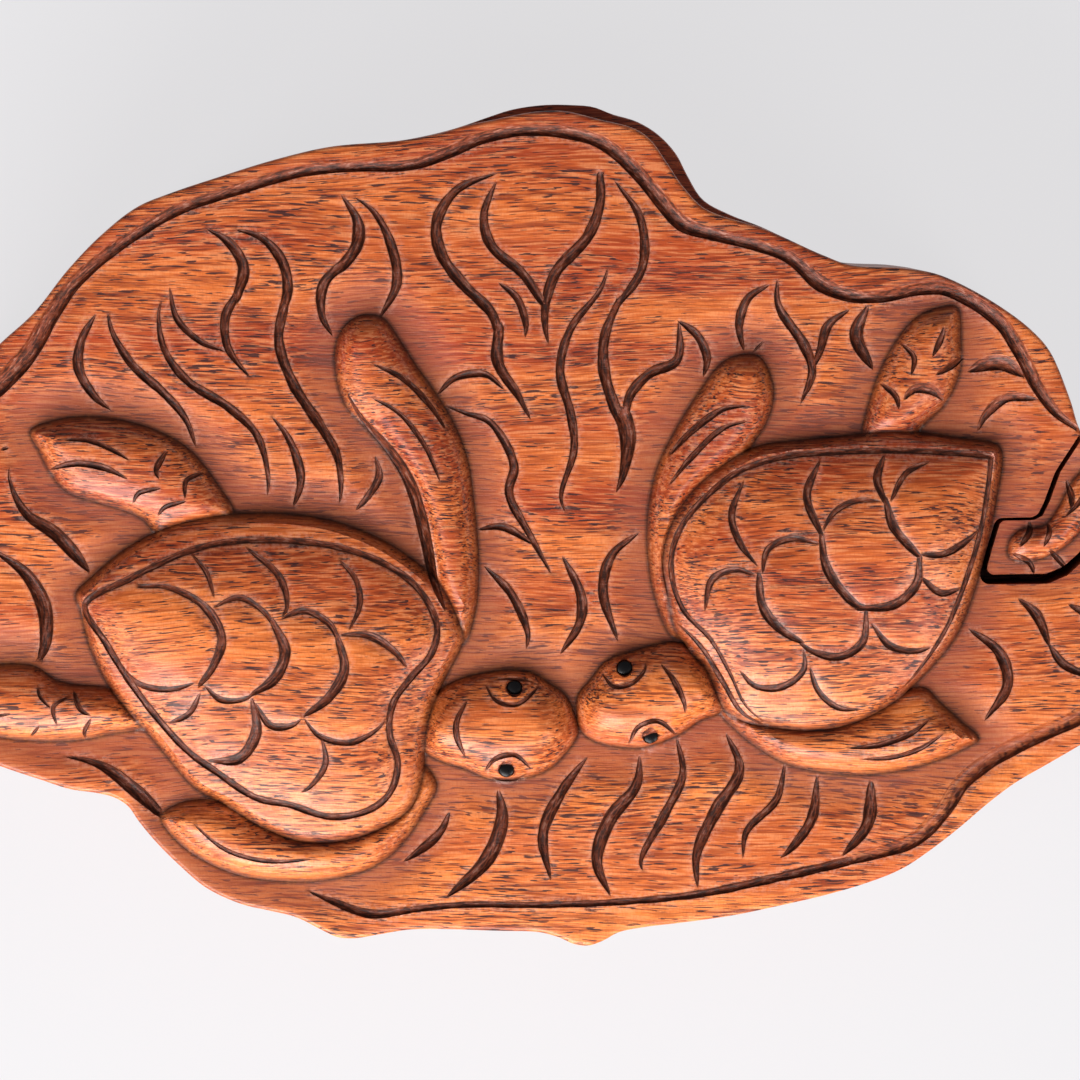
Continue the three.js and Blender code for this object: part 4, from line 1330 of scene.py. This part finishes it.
@dataclass(frozen=True)
class GlossFinish:
    """Polished black inlay.

    Attributes:
        name: The material's name.
        colour: Its colour, as seen on a screen.
        rough: Its roughness.
    """

    name: str
    colour: tuple[int, int, int] = (6, 5, 6)
    rough: float = 0.3

    def material(self) -> bpy.types.Material:
        """Builds the material.

        Returns:
            The material.
        """
        material = bpy.data.materials.new(self.name)
        material.use_nodes = True
        nodes = Nodes(material.node_tree)
        place = nodes.add("ShaderNodeTexCoord").outputs["Object"]
        wear_noise = nodes.noise(place, (900, 900, 900), 3.0)
        rough = nodes.maths("ADD", nodes.maths("MULTIPLY", wear_noise, 0.14), self.rough - 0.07)
        bump = nodes.add("ShaderNodeBump", {"Height": wear_noise, "Strength": 0.15, "Distance": 0.02 * MM})
        colour = nodes.mix(wear_noise, linear(*self.colour), linear(*(2 * part for part in self.colour)))
        shader = nodes.add("ShaderNodeBsdfPrincipled", {
            "Base Color": colour, "Roughness": rough, "Normal": bump.outputs[0], "Coat Weight": 0.05,
            "Coat Roughness": 0.15, "Specular IOR Level": 0.2})
        nodes.add("ShaderNodeOutputMaterial", {"Surface": shader.outputs[0]})
        return material


def sawn_prism_tree() -> bpy.types.NodeTree:
    """A prism over a closed line, whose sides show the even marks of a saw blade.

    Returns:
        A geometry group: the line's corners are rounded a little, the blade's marks are pressed
        into it, and it is filled and raised.
    """
    name = "Sawn prism"
    if name in bpy.data.node_groups:
        return bpy.data.node_groups[name]
    nodes = new_group(
        name,
        "GeometryNodeTree",
        {"Line": "NodeSocketGeometry", "Bottom": "NodeSocketFloat", "Height": "NodeSocketFloat",
         "Corner": "NodeSocketFloat", "Step": "NodeSocketFloat", "Marks": "NodeSocketFloat",
         "Material": "NodeSocketMaterial"},
        {"Prism": "NodeSocketGeometry"},
    )
    given = nodes.add("NodeGroupInput").outputs
    curve = nodes.add("GeometryNodeMeshToCurve", {"Mesh": given["Line"]}).outputs[0]
    curve = nodes.add(
        "GeometryNodeFilletCurve",
        {"Curve": curve, "Radius": given["Corner"], "Count": 6, "Limit Radius": True},
        mode="POLY",
    ).outputs[0]
    curve = nodes.add(
        "GeometryNodeResampleCurve", {"Curve": curve, "Length": given["Step"]}, mode="LENGTH"
    ).outputs[0]
    along = nodes.add("GeometryNodeInputTangent").outputs[0]
    across = nodes.vectors("CROSS_PRODUCT", along, (0.0, 0.0, 1.0))
    place = nodes.add("GeometryNodeInputPosition").outputs[0]
    blade = nodes.maths("SUBTRACT", nodes.noise(place, (1700, 1700, 1700), 1.0), 0.5)
    wander = nodes.maths("SUBTRACT", nodes.noise(place, (160, 160, 160), 1.0), 0.5)
    press = nodes.maths("ADD", blade, nodes.maths("MULTIPLY", wander, 1.5))
    shift = nodes.vectors("SCALE", across)
    nodes.tree.links.new(nodes.maths("MULTIPLY", press, given["Marks"]), shift.node.inputs["Scale"])
    curve = nodes.add("GeometryNodeSetPosition", {"Geometry": curve, "Offset": shift}).outputs[0]
    base = nodes.add("GeometryNodeFillCurve", {"Curve": curve}, mode="NGONS").outputs[0]
    raised = nodes.add(
        "GeometryNodeExtrudeMesh",
        {"Mesh": base, "Offset": (0.0, 0.0, 1.0), "Offset Scale": given["Height"], "Individual": False},
        mode="FACES",
    ).outputs[0]
    under = nodes.add("GeometryNodeFlipFaces", {"Mesh": base}).outputs[0]
    joined = nodes.add("GeometryNodeJoinGeometry")
    nodes.tree.links.new(raised, joined.inputs[0])
    nodes.tree.links.new(under, joined.inputs[0])
    merged = nodes.add(
        "GeometryNodeMergeByDistance", {"Geometry": joined.outputs[0], "Distance": 0.0001 * MM}
    ).outputs[0]
    raise_by = nodes.add("ShaderNodeCombineXYZ", {"Z": given["Bottom"]}).outputs[0]
    placed = nodes.add("GeometryNodeSetPosition", {"Geometry": merged, "Offset": raise_by}).outputs[0]
    real = nodes.add("GeometryNodeRealizeInstances", {"Geometry": placed}).outputs[0]
    done = nodes.add("GeometryNodeSetMaterial", {"Geometry": real, "Material": given["Material"]})
    nodes.add("NodeGroupOutput", {"Prism": done.outputs[0]})
    return nodes.tree


def inlaid_pegs_tree() -> bpy.types.NodeTree:
    """A round peg with a domed top at every point.

    Returns:
        A geometry group.
    """
    nodes = new_group(
        "Inlaid pegs",
        "GeometryNodeTree",
        {"Places": "NodeSocketGeometry", "Radius": "NodeSocketFloat", "Depth": "NodeSocketFloat",
         "Crown": "NodeSocketFloat", "Material": "NodeSocketMaterial"},
        {"Pegs": "NodeSocketGeometry"},
    )
    given = nodes.add("NodeGroupInput").outputs
    peg = nodes.add(
        "GeometryNodeMeshCylinder",
        {"Vertices": 32, "Side Segments": 2, "Fill Segments": 6, "Radius": given["Radius"],
         "Depth": given["Depth"]},
        fill_type="TRIANGLE_FAN",
    ).outputs[0]
    place = nodes.add("GeometryNodeInputPosition").outputs[0]
    parts = nodes.add("ShaderNodeSeparateXYZ", {0: place}).outputs
    from_middle = nodes.vectors("LENGTH", nodes.vectors("MULTIPLY", place, (1.0, 1.0, 0.0)))
    from_middle = from_middle.node.outputs["Value"]
    share = nodes.maths("DIVIDE", from_middle, given["Radius"])
    curve = nodes.maths("SUBTRACT", 1.0, nodes.maths("POWER", share, 2.2))
    lift = nodes.add("ShaderNodeCombineXYZ", {"Z": nodes.maths("MULTIPLY", curve, given["Crown"])})
    quarter = nodes.maths("MULTIPLY", given["Depth"], 0.25)
    on_top = nodes.maths("GREATER_THAN", parts["Z"], quarter)
    domed = nodes.add(
        "GeometryNodeSetPosition", {"Geometry": peg, "Selection": on_top, "Offset": lift.outputs[0]}
    ).outputs[0]
    each = nodes.add("GeometryNodeInstanceOnPoints", {"Points": given["Places"], "Instance": domed})
    real = nodes.add("GeometryNodeRealizeInstances", {"Geometry": each.outputs[0]}).outputs[0]
    done = nodes.add("GeometryNodeSetMaterial", {"Geometry": real, "Material": given["Material"]})
    nodes.add("NodeGroupOutput", {"Pegs": done.outputs[0]})
    return nodes.tree


def grow(piece: bpy.types.Object, tree: bpy.types.NodeTree, values: dict[str, object]) -> None:
    """Runs a geometry group on a piece and keeps the result as its plain mesh.

    Args:
        piece: The piece.
        tree: The group.
        values: The group's inputs by name.
    """
    modifier = piece.modifiers.new(tree.name, "NODES")
    modifier.node_group = tree
    for socket in tree.interface.items_tree:
        if socket.in_out == "INPUT" and socket.name in values:
            modifier[socket.identifier] = values[socket.name]
    piece.update_tag()
    apply_modifiers(piece)


def sawn_prism(name: str, ring: np.ndarray, bottom: float, top: float, corner: float, step: float,
               marks: float) -> bpy.types.Object:
    """A prism over a ring, with saw marks down its sides.

    Args:
        name: The object's name.
        ring: Its points in millimetres.
        bottom: Level of its underside.
        top: Level of its top.
        corner: Radius that its corners are rounded to.
        step: Distance between points along it.
        marks: Height of the saw's marks.

    Returns:
        The solid.
    """
    vertices = np.column_stack([ring, np.zeros(len(ring))])
    mesh = bpy.data.meshes.new(name)
    count = len(ring)
    mesh.from_pydata((vertices * MM).tolist(), [(i, (i + 1) % count) for i in range(count)], [])
    prism = bpy.data.objects.new(name, mesh)
    bpy.context.scene.collection.objects.link(prism)
    grow(prism, sawn_prism_tree(), {
        "Bottom": bottom * MM, "Height": (top - bottom) * MM, "Corner": corner * MM,
        "Step": step * MM, "Marks": marks * MM})
    return prism


def rectangle(middle: tuple[float, float], length: float, width: float) -> np.ndarray:
    """A rectangle's corners, anticlockwise."""
    x, y = length / 2, width / 2
    return np.array([(-x, -y), (x, -y), (x, y), (-x, y)]) + middle


def widened(ring: np.ndarray, distance: float) -> np.ndarray:
    """An anticlockwise ring with each side moved out by the same distance, with mitred corners."""
    side_in = ring - np.roll(ring, 1, 0)
    side_in /= np.linalg.norm(side_in, axis=1, keepdims=True)
    side_out = np.roll(side_in, -1, 0)
    out_in = np.stack([side_in[:, 1], -side_in[:, 0]], 1)
    out_out = np.stack([side_out[:, 1], -side_out[:, 0]], 1)
    mitre = out_in + out_out
    mitre /= np.linalg.norm(mitre, axis=1, keepdims=True)
    return ring + mitre * distance / (mitre * out_out).sum(1, keepdims=True)


def chamfered(name: str, ring: np.ndarray, bottom: float, top: float, below: list[tuple[float, float]],
              above: list[tuple[float, float]]) -> bpy.types.Object:
    """A prism over an anticlockwise ring with its lower and upper edges worked.

    Args:
        name: The object's name.
        ring: Its outline in millimetres.
        bottom: Level of its underside.
        top: Level of its top.
        below: How far in and how high each ring of its lower edge is, from the underside up.
        above: How far in and how far down each ring of its upper edge is, from the top down.

    Returns:
        The solid.
    """
    inward = left_of(ring, True)
    rings = [(ring + inward * way, bottom + rise) for way, rise in below]
    rings += [(ring + inward * way, top - drop) for way, drop in reversed(above)]
    return ring_stack(name, rings)


def rounding(radius: float, steps: int) -> list[tuple[float, float]]:
    """How far in and how high the rings of a rounded edge lie, from the face to the side."""
    turns = np.linspace(0, math.pi / 2, steps)
    return [(radius * (1 - math.sin(turn)), radius * (1 - math.cos(turn))) for turn in turns]


def fretsaw_line() -> np.ndarray:
    """The key's sawn outline, anticlockwise, in millimetres."""
    return anticlockwise(on_plan(KEY_CUT))


def body_outline(step: float) -> np.ndarray:
    """The outline of the box under its lid, which stands out a little further along the back."""
    starts, ends = BODY_BACK_EDGE[0][0], BODY_BACK_EDGE[-1][0]
    first = next(i for i, knot in enumerate(LID_OUTLINE) if knot[0] >= starts)
    last = next(i for i, knot in enumerate(LID_OUTLINE) if knot[0] > ends)
    drawn = LID_OUTLINE[:first] + BODY_BACK_EDGE + LID_OUTLINE[last:]
    return kept_within("body_block", outline_of(drawn, step))


def dress(piece: bpy.types.Object, material: bpy.types.Material, body: str, slot: str,
          *nodes: str) -> None:
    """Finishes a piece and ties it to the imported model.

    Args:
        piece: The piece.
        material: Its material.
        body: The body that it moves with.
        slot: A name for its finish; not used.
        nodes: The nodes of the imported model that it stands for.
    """
    piece.data.materials.clear()
    piece.data.materials.append(material)
    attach(piece, body)
    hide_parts(*nodes)
    LOG.info("%s: %d triangles", piece.name, sum(len(face.vertices) - 2 for face in piece.data.polygons))


@dataclass
class BoxBody:
    """The bottom board and the block over it, hollowed out, with the dovetail's two tenons.

    Attributes:
        foot_round: Radius of the board's lower edge, in millimetres.
        glue_line: Size of the tiny groove where the board meets the block.
        top_edge: Size of the chamfer round the block's top.
        cavity_knots: How many knots the cavity's outline has.
    """

    finish: WoodFinish
    foot_round: float = 0.9
    glue_line: float = 0.18
    top_edge: float = 0.35
    cavity_step: float = 9.0

    def cavity_line(self) -> np.ndarray:
        """The hollow's outline: a wall's thickness in, and short of the tongue's groove."""
        knots = body_outline(self.cavity_step)
        spine = on_plan(BOX_SPINE)
        _, place, _ = nearest_on(knots, spine)
        inward = spine[0] + (spine[1] - spine[0]) * place[:, None] - knots
        inner = knots + inward / np.linalg.norm(inward, axis=1, keepdims=True) * WALL
        line = smooth_through(inner, True, 6)
        groove = on_plan([TONGUE_CENTRE])[0, 0]
        line[:, 0] = np.minimum(line[:, 0], groove - TONGUE_LENGTH / 2 - TONGUE_GAP - GROOVE_WALL)
        return line

    def board(self, low: float, high: float) -> bpy.types.Object:
        """The bottom board, with its lower edge rounded."""
        below = rounding(self.foot_round, 6)
        return chamfered("bottom_board_wood", body_outline(0.9), low, high, below,
                         [(self.glue_line, 0), (0, self.glue_line)])

    def block(self, low: float, joint: float) -> bpy.types.Object:
        """The hollow block with its tenons and the groove for the key's tongue."""
        outline = body_outline(0.9)
        glue = [(self.glue_line, 0), (0, self.glue_line)]
        block = chamfered("body_block_wood", outline, low, joint, glue,
                          [(self.top_edge, 0), (self.top_edge * 0.3, self.top_edge * 0.3), (0, self.top_edge)])
        tenons = dovetail_bar("tenons", joint, joint - SPARE, 0.0)
        saw(tenons, chamfered("tenon ends", outline, low, joint + 2 * TENON_HEIGHT, [(0.15, 0)], [(0.15, 0)]),
            "INTERSECT")
        saw(block, tenons, "UNION")
        hollow = sawn_prism("hollow", self.cavity_line(), low - SPARE, joint + 2 * TENON_HEIGHT,
                            corner=3.0, step=0.45, marks=0.14)
        saw(block, hollow, "DIFFERENCE")
        groove = on_plan([TONGUE_CENTRE])[0]
        length = TENON_TOP * 4
        closed_end = groove[1] + TONGUE_WIDTH / 2 + TONGUE_GAP
        ring = rectangle((groove[0], closed_end - length / 2), TONGUE_LENGTH + 2 * TONGUE_GAP, length)
        saw(block, ring_stack("groove", [(ring, joint - TONGUE_DEPTH - TONGUE_GAP), (ring, joint + SPARE)]),
            "DIFFERENCE")
        return block

    def build(self) -> None:
        """Makes both pieces and dresses them."""
        wood = self.finish.material()
        board_top = level("bottom_board", 1)
        joint = level("lid", 0) - SLIDE_GAP
        board = self.board(level("bottom_board", 0), board_top)
        block = self.block(board_top, joint)
        for piece, node in ((board, "bottom_board"), (block, "body_block")):
            smooth_shade(piece, 38)
            dress(piece, wood, "body", "body_wood", node)


def dovetail_bar(name: str, joint: float, bottom: float, gap: float) -> bpy.types.Object:
    """A full-length dovetail bar with its narrow side down.

    Args:
        name: The object's name.
        joint: The level where the lid and the block meet.
        bottom: Level of the bar's underside.
        gap: How much it is grown on every side.

    Returns:
        The solid.
    """
    slope = (TENON_TOP - TENON_BASE) / TENON_HEIGHT
    middle = (on_plan([TENON_CENTRE])[0, 0], 0.0)
    rings = []
    for height in (bottom, joint + TENON_HEIGHT + gap):
        width = TENON_BASE + (height - joint) * slope + 2 * gap
        rings.append((rectangle(middle, width, 12 * TENON_TOP), height))
    return ring_stack(name, rings)


@dataclass
class CarvedSlab:
    """The carved board that the lid and the key are sawn from.

    Attributes:
        relief: What is carved on it.
        under_edge: Size of the chamfer round its underside, in millimetres.
    """

    relief: Relief
    under_edge: float = 0.3
    plan: np.ndarray = field(init=False)
    says: dict[str, np.ndarray] = field(init=False)

    def solid(self, name: str) -> bpy.types.Object:
        """The whole slab.

        Args:
            name: The object's name.

        Returns:
            The solid.
        """
        self.plan, triangles = self.relief.mesh_plan()
        self.says = self.relief.surface(self.plan)
        field_level = level("lid", 0) + LID_THICKNESS
        bottom = level("lid", 0)
        top = np.column_stack([self.plan, field_level + self.says["height"]])
        loop = boundary_loop(triangles)
        ring = self.plan[loop]
        inward = left_of(ring, True)
        count = len(loop)
        side = np.column_stack([ring, np.full(count, bottom + self.under_edge)])
        under = np.column_stack([ring + inward * self.under_edge, np.full(count, bottom)])
        vertices = np.vstack([top, side, under])
        turn = np.arange(count)
        after = (turn + 1) % count
        first, second = len(top), len(top) + count
        faces = triangles.tolist()
        faces += np.stack([loop[after], loop, first + turn, first + after], 1).tolist()
        faces += np.stack([first + after, first + turn, second + turn, second + after], 1).tolist()
        faces.append((second + turn[::-1]).tolist())
        LOG.info("carved slab: %d points, %d faces", len(vertices), len(faces))
        return make_object(name, vertices, faces)

    def mark_surface(self, piece: bpy.types.Object) -> None:
        """Writes on a sawn piece where it is carved, for its finish to read.

        Args:
            piece: The lid or the key.
        """
        tree = KDTree(len(self.plan))
        for number, (x, y) in enumerate(self.plan):
            tree.insert((x, y, 0), number)
        tree.balance()
        places = np.array([vertex.co for vertex in piece.data.vertices]) / MM
        carved_low = level("lid", 0) + LID_THICKNESS - 2.4
        nearest = np.array([tree.find((x, y, 0))[1] for x, y, _ in places])
        on_top = places[:, 2] > carved_low
        for name in CARVED_MARKS:
            values = np.where(on_top, self.says[name][nearest], 0).astype(np.float32)
            piece.data.attributes.new(name, "FLOAT", "POINT").data.foreach_set("value", values)


@dataclass
class LidAndKey:
    """The carved lid with its inlaid pupils, and the key that is sawn out of it.

    Attributes:
        slab: The board that both are sawn from.
        wood: Their finish.
        inlay: The pupils' finish.
        tongue_wood: The finish of the key's tongue.
    """

    slab: CarvedSlab
    wood: WoodFinish
    inlay: GlossFinish
    tongue_wood: WoodFinish
    pupil_radius: float = 1.0
    pupil_crown: float = 0.2
    pupil_depth: float = 1.0
    pupil_stands: float = 0.0

    def build(self) -> None:
        """Saws the key out of the slab, cuts the lid's slot and groove, and inlays the pupils."""
        lid = self.slab.solid("lid_carved")
        key = lid.copy()
        key.data = lid.data.copy()
        key.name = "key_carved"
        bpy.context.scene.collection.objects.link(key)
        bottom, above = level("lid", 0) - SPARE, level("lid", 1) + SPARE
        line = fretsaw_line()
        saw(key, sawn_prism("key line", line, bottom, above, corner=0.9, step=0.3, marks=0.07), "INTERSECT")
        slot_line = widened(line, KERF) - (0, KEY_OFFSET)
        saw(lid, sawn_prism("slot line", slot_line, bottom, above, corner=1.4, step=0.3, marks=0.07),
            "DIFFERENCE")
        saw(lid, dovetail_bar("lid groove", level("lid", 0) - SLIDE_GAP, bottom, SLIDE_GAP), "DIFFERENCE")
        wood = self.wood.material()
        for piece, body, node in ((lid, "lid", "lid"), (key, "key", "key")):
            self.slab.mark_surface(piece)
            smooth_shade(piece, 40)
            dress(piece, wood, body, "carved_wood", node)
        self.add_pupils()
        self.add_tongue()

    def add_pupils(self) -> None:
        """Inlays the four pupils."""
        middles = on_plan(PUPILS)
        beside = middles + (1.05 * self.slab.relief.socket, 0)
        rims = level("lid", 0) + LID_THICKNESS + self.slab.relief.surface(beside)["height"]
        stands = rims + self.pupil_stands - self.pupil_crown - self.pupil_depth / 2
        mesh = bpy.data.meshes.new("pupils")
        mesh.from_pydata((np.column_stack([middles, stands]) * MM).tolist(), [], [])
        pupils = bpy.data.objects.new("pupils", mesh)
        bpy.context.scene.collection.objects.link(pupils)
        gloss = self.inlay.material()
        grow(pupils, inlaid_pegs_tree(), {
            "Radius": self.pupil_radius * MM, "Depth": self.pupil_depth * MM,
            "Crown": self.pupil_crown * MM, "Material": gloss})
        smooth_shade(pupils, 45)
        dress(pupils, gloss, "lid", "black_inlay", *PUPIL_NODES)

    def add_tongue(self) -> None:
        """Adds the key's tongue, which drops into the block's groove."""
        low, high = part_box("key_tongue")
        middle = ((low.x + high.x) / 2 / MM, (low.y + high.y) / 2 / MM)
        ring = evenly(rectangle(middle, TONGUE_LENGTH, TONGUE_WIDTH), 0.5, True)
        tongue = chamfered("key_tongue_wood", ring, low.z / MM, high.z / MM,
                           [(0.5, 0), (0.1, 0.25), (0, 0.7)], [(0, 0)])
        smooth_shade(tongue, 30)
        dress(tongue, self.tongue_wood.material(), "key", "tongue_wood", "key_tongue")


@dataclass
class Studio:
    """The pale table, soft lamps and the camera straight over the box.

    Attributes:
        aim: The point on the lid that the camera looks at, in millimetres.
        stand_back: How far the camera stands behind the point on the lid that it looks at, in millimetres, so
            that it sees the back edge.
        height: Its height over the table.
        table_colour: The table, as seen on a screen.
        table_glow: Share of the table that the camera sees at its plain colour, lit or not.
        sky: Strength of the sky.
        window: Power of the large window lamp in front, in watts.
        sides: Power of each weak lamp on the sides.
    """

    stand_back: float = 50.0
    height: float = 1200.0
    table_colour: tuple[int, int, int] = (233, 232, 234)
    table_glow: float = 0.85
    sky: float = 0.22
    window: float = 9.7
    sides: float = 2.5

    def build(self) -> None:
        """Sets the table, the light and the camera."""
        self.add_table()
        self.add_light()
        self.add_camera()

    def add_table(self) -> None:
        """A plain pale table top."""
        reach = 1500.0
        ring = rectangle((0.0, 0.0), 2 * reach, 2 * reach)
        table = make_object("table", np.column_stack([ring, np.zeros(4)]), [[0, 1, 2, 3]])
        material = bpy.data.materials.new("table")
        material.use_nodes = True
        nodes = Nodes(material.node_tree)
        ray = nodes.add("ShaderNodeLightPath").outputs
        seen = nodes.maths("MAXIMUM", ray["Is Camera Ray"], ray["Is Glossy Ray"])
        seen = nodes.maths("MAXIMUM", seen, ray["Is Transmission Ray"])
        seen = nodes.maths("MULTIPLY", seen, self.table_glow)
        colour = linear(*self.table_colour)
        black = (0.0, 0.0, 0.0, 1.0)
        shader = nodes.add("ShaderNodeBsdfPrincipled", {
            "Base Color": nodes.mix(seen, colour, black), "Roughness": 0.6,
            "Specular IOR Level": 0.2, "Emission Color": nodes.mix(seen, black, colour),
            "Emission Strength": 1.0})
        nodes.add("ShaderNodeOutputMaterial", {"Surface": shader.outputs[0]})
        table.data.materials.append(material)

    def add_light(self) -> None:
        """A soft sky, a large window lamp in front and a weak lamp on either side."""
        world = bpy.data.worlds.new("sky")
        world.use_nodes = True
        nodes = Nodes(world.node_tree)
        sky = nodes.add("ShaderNodeBackground", {"Color": (0.97, 0.98, 1.0, 1.0), "Strength": self.sky})
        nodes.add("ShaderNodeOutputWorld", {"Surface": sky.outputs[0]})
        bpy.context.scene.world = world
        for name, place, size, power in (
            ("window", (-190.0, -580.0, 460.0), 520.0, self.window),
            ("left lamp", (-720.0, -380.0, 640.0), 320.0, self.sides),
            ("right lamp", (560.0, -480.0, 660.0), 300.0, self.sides),
        ):
            lamp = bpy.data.lights.new(name, "AREA")
            lamp.size = size * MM
            lamp.energy = power
            holder = bpy.data.objects.new(name, lamp)
            holder.location = Vector(place) * MM
            holder.rotation_euler = (-holder.location).to_track_quat("-Z", "Y").to_euler()
            bpy.context.scene.collection.objects.link(holder)

    def add_camera(self) -> None:
        """A long lens over the box."""
        across, down = on_plan([VIEW_CENTRE])[0]
        span = VIEW_SPAN * GRID_STEP
        aim = Vector((across, down, level("lid", 0) + LID_THICKNESS))
        eye = Vector((across, down + self.stand_back, self.height))
        data = bpy.data.cameras.new("camera")
        data.lens = data.sensor_width * (eye - aim).length / span
        data.clip_end = 10
        camera = bpy.data.objects.new("camera", data)
        camera.location = eye * MM
        camera.rotation_euler = (-math.atan2(eye.y - aim.y, eye.z - aim.z), 0, 0)
        bpy.context.scene.collection.objects.link(camera)
        bpy.context.scene.camera = camera
        bpy.context.scene.view_settings.view_transform = "Standard"


def main() -> None:
    """Builds the box, its finishes and the studio."""
    Studio().build()
    body_wood = WoodFinish("body wood", light=(196, 90, 44), deep=(154, 60, 28), pale=(214, 120, 72))
    BoxBody(body_wood).build()
    carved_wood = WoodFinish("carved wood", carved=True)
    tongue_wood = WoodFinish("tongue wood", light=(206, 152, 104), deep=(178, 122, 78),
                             pale=(220, 176, 132), streak=(150, 96, 58), coat=0.1, rough=0.6)
    LidAndKey(CarvedSlab(Relief()), carved_wood, GlossFinish("black inlay"), tongue_wood).build()


if __name__ == "__main__":
    main()
